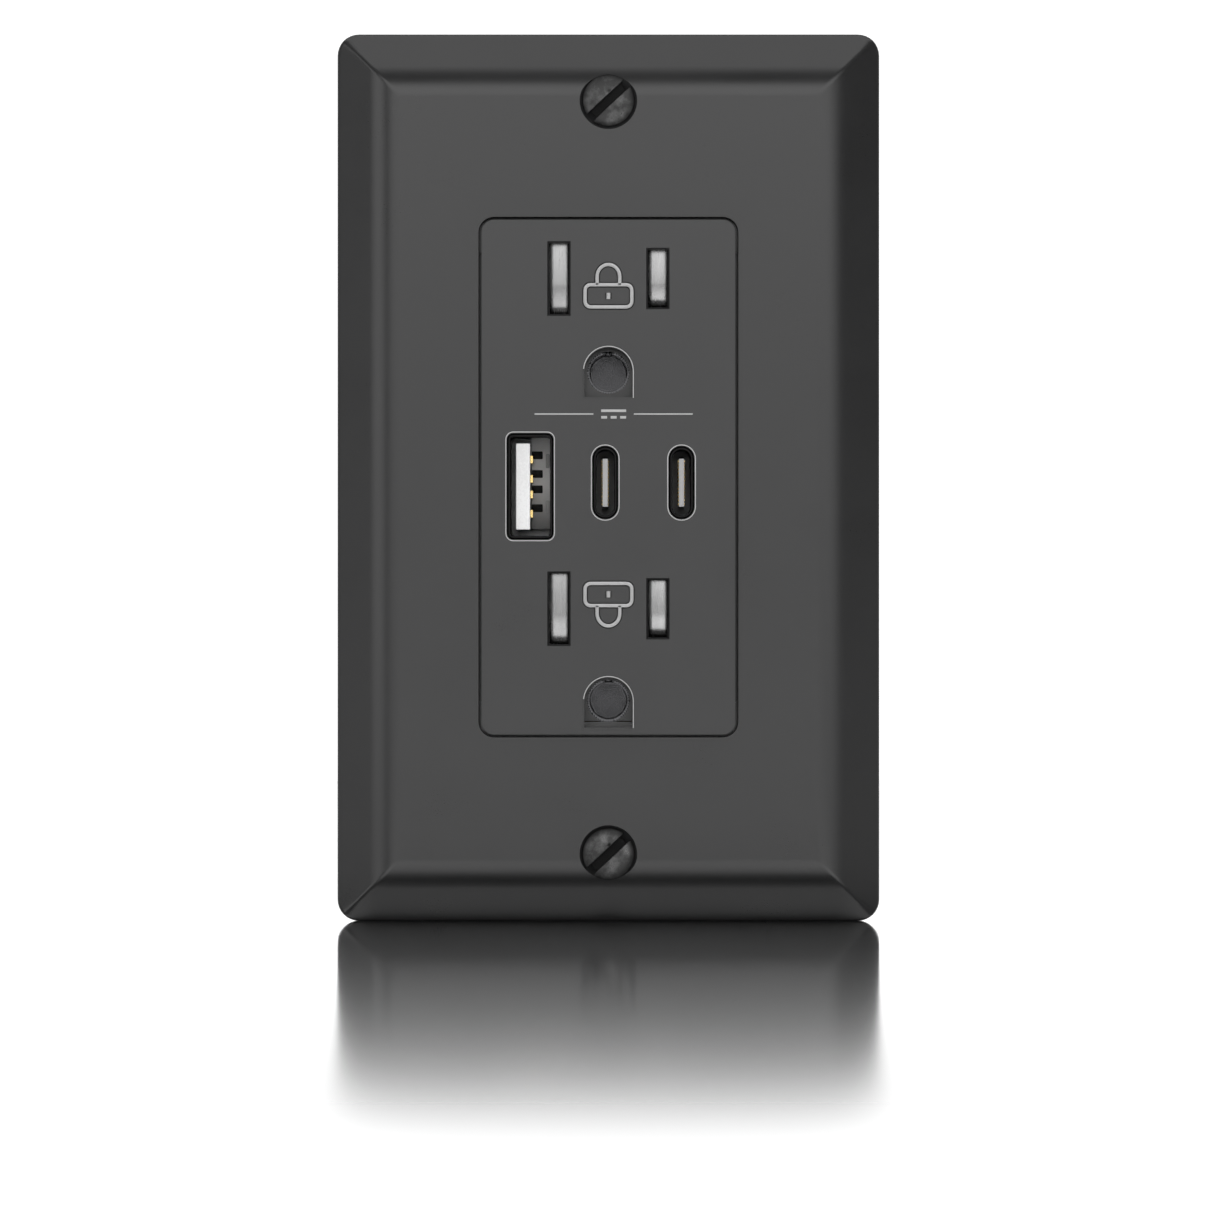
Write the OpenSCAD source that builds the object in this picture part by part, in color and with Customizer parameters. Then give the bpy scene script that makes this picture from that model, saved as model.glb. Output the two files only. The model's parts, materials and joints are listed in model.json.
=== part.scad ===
// Duplex wall outlet with two grounded receptacles, one wide USB port and two small USB ports.
// X points right, Z up and +Y into the wall, so the front faces -Y.
// The origin lies on the wall plane, midway between the two box screws.
// Screw threads are plain cylinders at their major diameter.

/* [Wall plate] */
// Width of the wall plate
plate_w = 69.85; // [66:0.05:90]
// From a plate screw's axis to the end of the plate
plate_end = 8.73; // [8:0.01:22]
// Wall thickness of the plate
plate_wall = 2.0; // [1.6:0.1:2.2]
// Thickness of the plate's side walls
plate_side = 2.2; // [1.6:0.1:3]
// Distance from the wall to the plate's flat field
plate_proud = 6.0; // [5.6:0.1:7.5]
// Height of the plate's outer edge above the wall
rim_edge = 2.2; // [1.6:0.1:3]
// Width of the straight bevel around the plate
bevel_w = 4.2; // [3:0.1:6]
// Width over which the bevel blends into the flat field
blend_w = 4.0; // [2:0.1:5]
// Radius of the plate's outer corners
plate_corner_r = 2.8; // [1:0.1:5]

/* [Device face] */
// Width of the face
face_w = 32.57; // [32:0.01:40]
// Height of the face
face_h = 66.1; // [66:0.1:80]
// Corner radius of the face
face_corner_r = 1.6; // [0.8:0.1:3]
// How far the face stands in front of the plate's field
face_proud = 0.6; // [0.2:0.1:1.2]
// Thickness of the face
face_wall = 1.8; // [1.2:0.1:2]
// Thickness of the face's side walls
face_side = 1.6; // [1:0.1:2]
// Gap between the face and the opening in the plate
face_gap = 0.35; // [0.3:0.05:0.6]
// Overhang of the cover's flange beyond the sides of the face
flange_side = 5.0; // [4.5:0.1:7]
// Overhang of the cover's flange beyond the ends of the face
flange_end = 1.45; // [1:0.05:3]
// Thickness of the cover's flange
flange_t = 1.5; // [1.2:0.1:1.8]

/* [Receptacles] */
// From the bottom of the face up to the lower blade line
lower_rise = 16.15; // [15.8:0.05:18]
// Distance between the two blade slots
blade_pitch = 12.7; // [12:0.1:15.3]
// Width of the blade slots
slot_w = 2.5; // [2:0.1:2.8]
// Height of the hot slot
hot_slot_h = 7.4; // [6.8:0.1:9]
// Height of the neutral slot
neutral_slot_h = 9.1; // [8.4:0.1:10.9]
// Chamfer around the slots and the ground holes
slot_chamfer = 0.25; // [0.1:0.05:0.5]
// From the blade line down to the ground pin's axis
ground_drop = 11.9; // [11.5:0.1:12.2]
// Radius of the ground hole's arch
ground_arch_r = 3.1; // [2.7:0.05:3.3]
// Height of the ground hole below its arch's centre
ground_flat = 3.33; // [2.9:0.05:3.6]

/* [Contacts] */
// Thickness of a plug's blade
blade_t = 1.52; // [1.4:0.01:1.6]
// Radius of a plug's ground pin
ground_pin_r = 2.4; // [2:0.05:2.5]
// Thickness of the contact metal
contact_t = 0.6; // [0.4:0.05:0.7]
// Thickness of the bus bars
bus_t = 1.0; // [0.8:0.05:1.2]
// Depth of the contacts' mouths behind the wall plane
contact_front = 2.0; // [1.6:0.1:3]
// Depth of the bus bars' front behind the wall plane
bus_front = 11.0; // [11:0.1:12]

/* [Shutters] */
// Travel of a shutter
shutter_travel = 3.4; // [3.2:0.1:3.6]
// Shutter's height above and below the neutral slot
shutter_rim = 0.65; // [0.5:0.05:0.8]
// Thickness of a shutter's plate
shutter_t = 1.0; // [0.8:0.1:1.2]
// Thickness of a shutter tray's floor
tray_t = 0.9; // [0.8:0.05:1]
// Thickness of a shutter tray's walls
tray_wall = 0.6; // [0.5:0.05:0.8]
// Outer radius of a return spring
spring_r = 1.3; // [1:0.1:1.4]
// Wire diameter of a return spring
spring_wire = 0.35; // [0.25:0.05:0.45]

/* [Ports] */
// Wide port's place across the face
wide_port_x = -10.05; // [-10.3:0.05:-9.6]
// Wide port's height on the face
wide_port_z = -1.19; // [-1.6:0.01:-0.4]
// Wide port's shell across its narrow side
wide_port_t = 5.7; // [5.2:0.1:5.9]
// Wide port's shell along its long side
wide_port_l = 13.34; // [12.8:0.02:14]
// Small port's shell across its narrow side
small_port_t = 3.0; // [2.9:0.1:3.6]
// Small port's shell along its long side
small_port_l = 9.06; // [8.9:0.02:10.9]
// Left small port's place across the face
left_port_x = -0.41; // [-1:0.01:0.4]
// Right small port's place across the face
right_port_x = 9.39; // [8.8:0.01:9.8]
// Small ports' height on the face
small_port_z = -0.70; // [-1.6:0.01:0.4]
// Wall thickness of a port's shell
shell_t = 0.3; // [0.2:0.05:0.4]
// How far a port's shell sits behind the face
shell_recess = 0.4; // [0.2:0.1:0.8]

/* [Strap] */
// Thickness of the mounting strap
strap_t = 1.3; // [1:0.1:1.5]
// Width of the strap's end necks
neck_w = 26; // [24:0.5:28]
// From the end of the cover's flange to a box screw's axis
box_screw_rise = 7.17; // [7:0.01:10]
// From a box screw's axis to the plate screw beyond it
plate_screw_rise = 6.75; // [6.7:0.01:9]
// From a plate screw's axis to the strap's end
strap_end = 4.93; // [4:0.01:6]
// Radius of the plaster ears
ear_r = 4.6; // [4:0.1:5]
// Length of the slots for the box screws
slot_len = 7.0; // [6:0.1:8]
// Width of the slots for the box screws
slot_high = 4.2; // [4:0.1:4.6]

/* [Screws] */
// Thread radius of the plate screws and the box screws
machine_r = 1.7526; // [1.5:0.01:2.1]
// Length of the plate screws under the top of the head
plate_screw_l = 12.7; // [10:0.1:19]
// Head radius of the plate screws
plate_head_r = 3.33; // [3.2:0.01:3.5]
// Length of the box screws under the head
box_screw_l = 25.4; // [19:0.1:38]
// Head radius of the box screws
box_head_r = 3.4; // [3.2:0.05:3.5]
// Head height of the box screws
box_head_h = 2.1; // [1.6:0.1:2.2]
// Thread radius of the terminal screws
terminal_r = 2.08; // [1.75:0.01:2.5]
// Head radius of the terminal screws
terminal_head_r = 4.0; // [3.6:0.1:4.5]
// Head height of the terminal screws
terminal_head_h = 2.2; // [1.8:0.1:2.4]
// Shank radius of the housing screws
housing_screw_r = 1.3; // [1.1:0.05:1.5]
// Width of the screwdriver slots
driver_w = 1.2; // [0.8:0.1:1.3]
// Angle of the plate screws' slots
driver_angle = 43; // [0:1:90]

/* [Terminals] */
// Distance of the terminal screws above and below the origin
terminal_z = 13; // [12:0.1:14]
// Depth of the terminal screws' axes behind the wall plane
terminal_y = 7.7; // [7.6:0.1:8]
// Thickness of a pressure plate
clamp_t = 1.6; // [1.2:0.1:1.8]
// Radius of the wire holes
wire_r = 1.35; // [1.1:0.05:1.4]
// From a terminal screw's axis to each of its wire holes
wire_offset = 3.6; // [3.5:0.1:4]

/* [Rear housing] */
// Depth of the wide part of the rear housing
wide_depth = 17.5; // [17:0.1:24]
// Depth of the whole rear housing
housing_depth = 35; // [33:0.1:46]
// Width of the narrow part of the rear housing
narrow_w = 31; // [30:0.1:32]
// Wall thickness of the rear housing
housing_wall = 1.8; // [1.4:0.1:2]

/* [Boards] */
// Thickness of the circuit boards
board_t = 1.6; // [1:0.1:1.6]
// Depth of the port board's front behind the wall plane
port_board_y = 6.8; // [6.6:0.1:7]

/* [Fits] */
// Radial clearance of a screw that turns in a hole
turn_gap = 0.04; // [0.02:0.01:0.08]
// Clearance of a piece that slides
slide_gap = 0.1; // [0.05:0.01:0.15]
// Clearance between pieces that don't touch
part_gap = 0.3; // [0.2:0.05:0.4]

/* [Hidden] */
$fn = 48;

// Outlines
flange_w = face_w + 2 * flange_side;
flange_h = face_h + 2 * flange_end;
open_w = face_w + 2 * face_gap;
open_h = face_h + 2 * face_gap;
box_z = flange_h / 2 + box_screw_rise;
plate_screw_z = box_z + plate_screw_rise;
plate_h = 2 * (plate_screw_z + plate_end);
strap_h = 2 * (plate_screw_z + strap_end);
housing_w = flange_w + 0.4;

// Depths along Y
face_front = -(plate_proud + face_proud);
face_back = face_front + face_wall;
flange_front = -(strap_t + flange_t);
plate_back = -(plate_proud - plate_wall);
tray_back = -0.5;
tray_front = tray_back - tray_t;
shutter_back = tray_front - slide_gap;
shutter_front = face_back + slide_gap;
shutter_face = shutter_back - shutter_t;
carrier_front = -0.4;
carrier_back = 1.2;
ground_strip_y = 9.6;
tip = 0.05;

// Receptacles: the upper shutter tray fits just under the top of the face
shutter_h = neutral_slot_h + 2 * shutter_rim;
tray_in = face_w / 2 - face_side - tray_wall - slide_gap;
tray_in_h = shutter_h / 2 + slide_gap;
upper_z = face_h / 2 - face_side - tip - tray_wall - tray_in_h;
lower_z = -face_h / 2 + lower_rise;
hot_x = blade_pitch / 2;
shutter_left = -tray_in + slide_gap;
shutter_right = hot_x + shutter_travel / 2 + 0.65;

// Cover bosses and housing screws
boss_x = flange_w / 2 - 3.3;
boss_z = flange_h / 2 - 3.5;
boss_r = housing_screw_r + 1.0;

// Strap: the window has a notch at the bottom for the lower ground pin
window_w = face_w - 2 * face_side;
window_top = face_h / 2 - face_side;
window_bottom = lower_z - tray_in_h - tray_wall - 2;
notch_bottom = lower_z - ground_drop - ground_pin_r - part_gap;
notch_half = ground_arch_r + part_gap;
ground_tab_in = neck_w / 2 - strap_t;
ground_tab_z = -(box_z - 1.67);
ground_tab_y = 6;

// Terminals, with x measured outwards on each side
terminal_plate_x = housing_w / 2 - 4.3;
clamp_x = terminal_plate_x + bus_t;
terminal_head_x = clamp_x + clamp_t;
terminal_tip_x = terminal_plate_x - 1.9;
wire_x = clamp_x + wire_r - 0.15;
pocket_x = terminal_plate_x - slide_gap;
pocket_h = 20.8 - 13 + terminal_z;
pocket_front = 3;
pocket_back = bus_front + bus_t + 2;
clamp_h = 2 * (wire_offset + wire_r + 1.0);
clamp_half_y = 3.9;
inner_x = pocket_x - 1.2;
divider_z = terminal_z - clamp_h / 2 - 0.9;

// Housing inside
step_y = wide_depth;
narrow_in = narrow_w / 2 - housing_wall;
housing_h = flange_h;
end_in = housing_h / 2 - housing_wall;
barrier_t = 1.2;
barrier_y = step_y - housing_wall - barrier_t;

// Boards
main_board_y = housing_depth - housing_wall - 1.4 - board_t;
board_in = narrow_in - part_gap;
port_board_w = 2 * (wide_port_t / 2 - wide_port_x + 0.5);
port_board_top = wide_port_z + wide_port_l / 2 + 4.0;
port_board_bottom = wide_port_z - wide_port_l / 2 - 3.6;

// ---- Helpers ----

// Extrude a flat shape from y0 to y1; its x runs along X and its y along Z
module along_y(y0, y1) {
    translate([0, y1, 0])
        rotate([90, 0, 0])
            linear_extrude(height = y1 - y0)
                children();
}

// Extrude a flat shape from x0 to x1; its x runs along Y and its y along Z
module along_x(x0, x1) {
    translate([x0, 0, 0])
        rotate([90, 0, 90])
            linear_extrude(height = x1 - x0)
                children();
}

// Extrude a flat shape from z0 to z1; its x runs along X and its y along Y
module along_z(z0, z1) {
    translate([0, 0, z0])
        linear_extrude(height = z1 - z0)
            children();
}

module cyl_y(r, y0, y1) {
    translate([0, y0, 0])
        rotate([-90, 0, 0])
            cylinder(h = y1 - y0, r = r);
}

module cone_y(r0, r1, y0, y1) {
    translate([0, y0, 0])
        rotate([-90, 0, 0])
            cylinder(h = y1 - y0, r1 = r0, r2 = r1);
}

module cyl_x(r, x0, x1) {
    translate([x0, 0, 0])
        rotate([0, 90, 0])
            cylinder(h = x1 - x0, r = r);
}

// Block between two corners
module block(low, high) {
    translate(low)
        cube(high - low);
}

// Rectangle with round corners, centred
module rounded(w, h, r) {
    square([w - 2 * r, h], center = true);
    square([w, h - 2 * r], center = true);
    for (sx = [-1, 1], sy = [-1, 1])
        translate([sx * (w / 2 - r), sy * (h / 2 - r)])
            circle(r = r);
}

// Slot with round ends along its long side, centred
module stadium(w, h) {
    r = min(w, h) / 2;
    square([w > h ? w - 2 * r : w, w > h ? h : h - 2 * r], center = true);
    for (s = [-1, 1])
        translate(w > h ? [s * (w / 2 - r), 0] : [0, s * (h / 2 - r)])
            circle(r = r);
}

// Both sides of something drawn on +X
module both_sides() {
    children();
    mirror([1, 0, 0])
        children();
}

// ---- Wall plate ----

bevel_slope = (plate_proud - rim_edge) / (bevel_w + blend_w / 2);
blend_steps = 6;

// Height of the plate's front at a distance s in from its edge
function rise(s) = rim_edge + bevel_slope * s
    - bevel_slope * pow(max(s - bevel_w, 0), 2) / (2 * blend_w);

// Half a section: from the edge at this inset to the flat field, lowered by a wall
function half_section(half, inset, wall) = concat(
    [[half - inset, 0], [half - inset, -(rise(inset) - wall)]],
    [for (i = [0 : blend_steps])
        let (s = bevel_w + blend_w * i / blend_steps) [half - s, -(rise(s) - wall)]]
);

function mirrored(points) = [for (i = [len(points) - 1 : -1 : 0]) [-points[i][0], points[i][1]]];

function whole_section(half, inset, wall) = let (p = half_section(half, inset, wall))
    concat(p, mirrored(p));

module plate_form(inset, wall) {
    intersection() {
        along_z(-plate_h / 2, plate_h / 2)
            polygon(whole_section(plate_w / 2, inset, wall));
        along_x(-plate_w / 2, plate_w / 2)
            polygon([for (p = whole_section(plate_h / 2, inset, wall)) [p[1], p[0]]]);
        along_y(-plate_proud - 1, 1)
            rounded(plate_w - 2 * inset, plate_h - 2 * inset, max(plate_corner_r - inset, 0.5));
    }
}

// The plate screw's 82-degree seat
seat_r = plate_head_r + 0.37;
seat_slope = tan(41);
seat_hole_r = machine_r + 0.25;
seat_depth = (seat_r - seat_hole_r) / seat_slope;
screw_boss_r = machine_r + 1.25;

module wall_plate() color([0.13, 0.13, 0.135]) {
    difference() {
        union() {
            difference() {
                plate_form(0, 0);
                plate_form(plate_side, plate_wall);
            }
            for (s = [-1, 1])
                translate([0, 0, s * plate_screw_z])
                    cyl_y(screw_boss_r, plate_back - 0.2, -(strap_t + 1 + part_gap));
        }
        along_y(-plate_proud - 1, 1)
            rounded(open_w, open_h, face_corner_r + face_gap);
        for (s = [-1, 1])
            translate([0, 0, s * plate_screw_z]) {
                cone_y(seat_r, seat_hole_r, -plate_proud, -plate_proud + seat_depth);
                cyl_y(seat_r, -plate_proud - 1, -plate_proud);
                cyl_y(seat_hole_r, -plate_proud, 1);
            }
    }
}

// ---- Screws ----

// Dome of this radius and height standing towards -Y from y0
module dome(r, high, y0) {
    ball = (r * r + high * high) / (2 * high);
    intersection() {
        translate([0, y0 - high + ball, 0])
            sphere(r = ball, $fn = 96);
        cyl_y(r, y0 - high, y0);
    }
}

head_drop = (seat_r - plate_head_r) / seat_slope - 2 * turn_gap;
plate_head_y = -plate_proud + head_drop;
plate_dome_h = 0.62;

// Oval-head screw in its seat, with its slot turned
module plate_screw() {
    cone_h = (plate_head_r - machine_r) / seat_slope;
    difference() {
        union() {
            dome(plate_head_r, plate_dome_h, plate_head_y - 0.1);
            cyl_y(plate_head_r, plate_head_y - 0.1, plate_head_y);
            cone_y(plate_head_r, machine_r, plate_head_y, plate_head_y + cone_h);
            cyl_y(machine_r, plate_head_y + cone_h, plate_screw_l + plate_head_y - 1);
            cone_y(machine_r, machine_r - 0.5, plate_screw_l + plate_head_y - 1,
                plate_screw_l + plate_head_y - 0.5);
        }
        rotate([0, -driver_angle, 0])
            block([-plate_head_r - 1, plate_head_y - 2, -driver_w / 2],
                [plate_head_r + 1, plate_head_y + 0.75, driver_w / 2]);
    }
}

module plate_screw_top() color([0.1, 0.1, 0.1])
    translate([0, 0, plate_screw_z])
        plate_screw();

module plate_screw_bottom() color([0.1, 0.1, 0.1])
    translate([0, 0, -plate_screw_z])
        plate_screw();

box_neck_r = machine_r - 0.25;
retainer_t = 0.4;

// Pan-head screw that fastens the strap to the box
module box_screw() {
    head_y = -strap_t - tip;
    end_y = head_y + box_screw_l;
    difference() {
        union() {
            dome(box_head_r, box_head_h - 0.8, head_y - 0.8);
            cyl_y(box_head_r, head_y - 0.8, head_y);
            cyl_y(box_neck_r, head_y, retainer_t + 0.05);
            cyl_y(machine_r, retainer_t + 0.05, end_y - 0.6);
            cone_y(machine_r, machine_r - 0.6, end_y - 0.6, end_y);
        }
        block([-box_head_r - 1, head_y - box_head_h - 1, -driver_w / 2],
            [box_head_r + 1, head_y - 0.7, driver_w / 2]);
    }
}

module box_screw_top() color("silver")
    translate([0, 0, box_z])
        box_screw();

module box_screw_bottom() color("silver")
    translate([0, 0, -box_z])
        box_screw();

// Fibre square that keeps a box screw in its slot
module retainer() {
    difference() {
        along_y(tip, retainer_t)
            rounded(10, 9, 1);
        cyl_y(box_neck_r + turn_gap, -1, 1);
    }
}

module box_screw_retainer_top() color("tan")
    translate([0, 0, box_z])
        retainer();

module box_screw_retainer_bottom() color("tan")
    translate([0, 0, -box_z])
        retainer();

// Pan-head terminal screw along +X: the head starts at x = 0 and the shank runs back to -length
module terminal_screw(length) {
    dome_h = 0.9;
    rotate([0, 0, 90])
        difference() {
            union() {
                dome(terminal_head_r, dome_h, dome_h - terminal_head_h);
                cyl_y(terminal_head_r, dome_h - terminal_head_h, 0);
                cyl_y(terminal_r, 0, length);
            }
            block([-terminal_head_r - 1, -terminal_head_h - 1, -driver_w / 2],
                [terminal_head_r + 1, -terminal_head_h + 1.3, driver_w / 2]);
        }
}

// Square clamp plate along +X, from x = 0 to its thickness
module clamp_plate(half_y, high) {
    difference() {
        along_x(0, clamp_t)
            rounded(2 * half_y, high, 0.6);
        cyl_x(terminal_r + turn_gap, -1, clamp_t + 1);
    }
}

module at_terminal(z) {
    translate([clamp_x, terminal_y, z])
        children();
}

terminal_shank = terminal_head_x - terminal_tip_x;

module terminal_screw_hot_upper() color("goldenrod")
    at_terminal(terminal_z)
        translate([clamp_t, 0, 0])
            terminal_screw(terminal_shank);

module terminal_screw_hot_lower() color("goldenrod")
    at_terminal(-terminal_z)
        translate([clamp_t, 0, 0])
            terminal_screw(terminal_shank);

module terminal_screw_neutral_upper() color("silver")
    mirror([1, 0, 0])
        at_terminal(terminal_z)
            translate([clamp_t, 0, 0])
                terminal_screw(terminal_shank);

module terminal_screw_neutral_lower() color("silver")
    mirror([1, 0, 0])
        at_terminal(-terminal_z)
            translate([clamp_t, 0, 0])
                terminal_screw(terminal_shank);

module pressure_plate_hot_upper() color("darkgoldenrod")
    at_terminal(terminal_z)
        clamp_plate(clamp_half_y, clamp_h);

module pressure_plate_hot_lower() color("darkgoldenrod")
    at_terminal(-terminal_z)
        clamp_plate(clamp_half_y, clamp_h);

module pressure_plate_neutral_upper() color("gainsboro")
    mirror([1, 0, 0])
        at_terminal(terminal_z)
            clamp_plate(clamp_half_y, clamp_h);

module pressure_plate_neutral_lower() color("gainsboro")
    mirror([1, 0, 0])
        at_terminal(-terminal_z)
            clamp_plate(clamp_half_y, clamp_h);

// ---- Front cover ----

// Ground hole: a half-round arch over a flat-bottomed throat, grown by extra
module ground_hole(extra) {
    circle(r = ground_arch_r + extra);
    translate([-ground_arch_r - extra, -ground_flat - extra])
        square([2 * (ground_arch_r + extra), ground_flat + extra]);
}

module blade_slot(x, high) {
    translate([x, 0, 0]) {
        along_y(face_front - 1, 0)
            square([slot_w, high], center = true);
        // sloped mouth
        hull() {
            along_y(face_front - tip, face_front)
                square([slot_w + 2 * slot_chamfer, high + 2 * slot_chamfer], center = true);
            along_y(face_front + slot_chamfer, face_front + slot_chamfer + tip)
                square([slot_w, high], center = true);
        }
    }
}

// Every opening of one receptacle, about its blade line
module receptacle_cuts() {
    blade_slot(-hot_x, neutral_slot_h);
    blade_slot(hot_x, hot_slot_h);
    translate([0, 0, -ground_drop]) {
        along_y(face_front - 1, 0)
            ground_hole(0);
        along_y(face_front - 1, face_front + slot_chamfer)
            ground_hole(slot_chamfer);
    }
}

port_gap = 0.15;

module port_outline(x, z, t, l, r, extra) {
    translate([x, z])
        rounded(t + 2 * extra, l + 2 * extra, r + extra);
}

wide_port_r = 0.7;
small_port_r = small_port_t / 2 - 0.05;

module port_cuts() {
    along_y(face_front - 1, 0) {
        port_outline(wide_port_x, wide_port_z, wide_port_t, wide_port_l, wide_port_r, port_gap);
        port_outline(left_port_x, small_port_z, small_port_t, small_port_l, small_port_r, port_gap);
        port_outline(right_port_x, small_port_z, small_port_t, small_port_l, small_port_r, port_gap);
    }
}

module front_cover() color([0.14, 0.14, 0.145]) {
    difference() {
        union() {
            along_y(face_front, -strap_t)
                rounded(face_w, face_h, face_corner_r);
            along_y(flange_front, -strap_t)
                rounded(flange_w, flange_h, 2);
            for (sx = [-1, 1], sz = [-1, 1])
                translate([sx * boss_x, 0, sz * boss_z]) {
                    cyl_y(boss_r + 0.3, flange_front - 0.9, flange_front);
                    cyl_y(boss_r, flange_front, 0);
                }
        }
        along_y(face_back, 1)
            rounded(face_w - 2 * face_side, face_h - 2 * face_side, 0.5);
        translate([0, 0, upper_z])
            receptacle_cuts();
        translate([0, 0, lower_z])
            receptacle_cuts();
        port_cuts();
        for (sx = [-1, 1], sz = [-1, 1])
            translate([sx * boss_x, 0, sz * boss_z])
                cyl_y(housing_screw_r, flange_front - 0.5, 1);
    }
}

// ---- Strap ----

collar_r = machine_r + 1.05;

module strap_outline() {
    rounded(flange_w, flange_h + 1, 2.5);
    square([neck_w, strap_h], center = true);
    for (sx = [-1, 1], sz = [-1, 1])
        translate([sx * (neck_w / 2 + 0.5), sz * (strap_h / 2 - ear_r)])
            circle(r = ear_r);
}

// Window for the receptacles and ports, drawn in by a gap
module window_outline(gap) {
    translate([-window_w / 2 + gap, window_bottom + gap])
        square([window_w - 2 * gap, window_top - window_bottom - 2 * gap]);
    translate([-notch_half + gap, notch_bottom + gap])
        square([2 * (notch_half - gap), window_bottom - notch_bottom]);
}

module mounting_strap() color([0.7, 0.71, 0.72]) {
    difference() {
        union() {
            along_y(-strap_t, 0)
                strap_outline();
            for (s = [-1, 1])
                translate([0, 0, s * plate_screw_z])
                    cyl_y(collar_r, -strap_t - 1, -strap_t);
            // ground tab, bent back from the neck
            block([-neck_w / 2, -strap_t, ground_tab_z - 5],
                [-ground_tab_in, ground_tab_y + 5, ground_tab_z + 5]);
        }
        along_y(-strap_t - 1, 1)
            window_outline(0);
        for (sx = [-1, 1], sz = [-1, 1])
            translate([sx * boss_x, 0, sz * boss_z])
                cyl_y(boss_r + 0.15, -strap_t - 1, 1);
        for (s = [-1, 1]) {
            translate([0, 0, s * plate_screw_z])
                cyl_y(machine_r + turn_gap, -strap_t - 2, 1);
            translate([0, 0, s * box_z])
                along_y(-strap_t - 1, 1)
                    stadium(slot_len, slot_high);
        }
        for (sx = [-1, 1], sz = [-1, 1])
            translate([sx * (neck_w / 2 + 0.5), 0, sz * (strap_h / 2 - ear_r)])
                cyl_y(2, -strap_t - 1, 1);
        translate([0, ground_tab_y, ground_tab_z])
            cyl_x(terminal_r + turn_gap, -neck_w, 0);
        // rivet holes for the ground bus
        for (s = [-1, 1])
            translate([s * rivet_x, 0, rivet_z])
                cyl_y(rivet_r, -strap_t - 1, 1);
    }
}

ground_shank = 6;

module ground_clamp() color("darkseagreen")
    mirror([1, 0, 0])
        translate([neck_w / 2, ground_tab_y, ground_tab_z])
            clamp_plate(4, 8);

module ground_screw() color("seagreen")
    mirror([1, 0, 0])
        translate([neck_w / 2 + clamp_t, ground_tab_y, ground_tab_z])
            terminal_screw(ground_shank + clamp_t);

// ---- Rear housing ----

// Outer form: a wide front part and a narrower back part
module housing_form() {
    along_y(0, step_y)
        rounded(housing_w, housing_h, 1.5);
    along_y(step_y - tip, housing_depth)
        rounded(narrow_w, housing_h, 1.5);
}

column_r = boss_r + 0.7;

// The columns that the housing screws run through, grown by a gap
module housing_columns(gap) {
    for (sx = [-1, 1], sz = [-1, 1])
        translate([sx * boss_x, 0, sz * boss_z])
            cyl_y(column_r + gap, 0, step_y);
}

module rear_housing() color([0.16, 0.16, 0.17]) {
    difference() {
        union() {
            difference() {
                housing_form();
                // wide chamber
                block([-inner_x, -1, -end_in], [inner_x, step_y - housing_wall, end_in]);
                // corner chambers beyond the terminal pockets
                for (s = [-1, 1])
                    both_sides()
                        block([0, -1, s > 0 ? pocket_h + 1.2 : -end_in],
                            [housing_w / 2 - housing_wall, step_y - housing_wall,
                                s > 0 ? end_in : -pocket_h - 1.2]);
                // narrow chamber
                block([-narrow_in, 0, -end_in], [narrow_in, housing_depth - housing_wall, end_in]);
            }
            housing_columns(0);
        }
        both_sides() {
            // terminal pocket, open to the side
            difference() {
                block([pocket_x, pocket_front, -pocket_h], [housing_w, pocket_back, pocket_h]);
                for (s = [-1, 1])
                    translate([0, 0, s * divider_z])
                        block([pocket_x - 1, pocket_front - 1, -0.6],
                            [housing_w / 2, bus_front - 2, 0.6]);
            }
            for (s = [-1, 1])
                translate([0, 0, s * terminal_z]) {
                    // the bus bar's way in
                    block([inner_x - 1, bus_front - slide_gap, -clamp_h / 2 - slide_gap],
                        [pocket_x + 1, bus_front + bus_t + slide_gap, clamp_h / 2 + slide_gap]);
                    translate([0, terminal_y, 0])
                        cyl_x(terminal_r + part_gap, inner_x - 1, pocket_x + 1);
                    for (w = [-1, 1])
                        translate([wire_x, 0, w * wire_offset])
                            cyl_y(wire_r, pocket_back - 1, step_y + 1);
                }
        }
        for (sx = [-1, 1], sz = [-1, 1])
            translate([sx * boss_x, 0, sz * boss_z])
                cyl_y(housing_screw_r + 0.15, -1, step_y + 1);
    }
}

housing_head_r = 2.3;

// Self-tapping screw with its head towards -Y and a cross recess
module self_tapper(length) {
    difference() {
        union() {
            dome(housing_head_r, 0.7, -0.9);
            cyl_y(housing_head_r, -0.9, 0);
            cyl_y(housing_screw_r, 0, length);
        }
        for (a = [0, 90])
            rotate([0, a, 0])
                block([-1.4, -2, -0.35], [1.4, -0.8, 0.35]);
    }
}

module housing_screws() color("dimgray")
    for (sx = [-1, 1], sz = [-1, 1])
        translate([sx * boss_x, step_y, sz * boss_z])
            rotate([0, 0, 180])
                self_tapper(step_y - flange_front + 0.4);

// ---- Contacts ----

// A pair of spring leaves on both sides of a blade, seen along Z
module jaw_leaf(s) {
    inner = blade_t / 2;
    outer = inner + contact_t;
    polygon([
        [s * (inner + 0.9), contact_front],
        [s * inner, contact_front + 2],
        [s * (inner + 0.25), bus_front - 2],
        [s * (inner + 0.25), bus_front + tip],
        [s * (outer + 0.25), bus_front + tip],
        [s * (outer + 0.25), bus_front - 2],
        [s * outer, contact_front + 2],
        [s * (outer + 0.9), contact_front]
    ]);
}

bus_in = hot_x + 5.0;
bus_over = 2.5;
bus_out = inner_x - 0.2;

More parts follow.
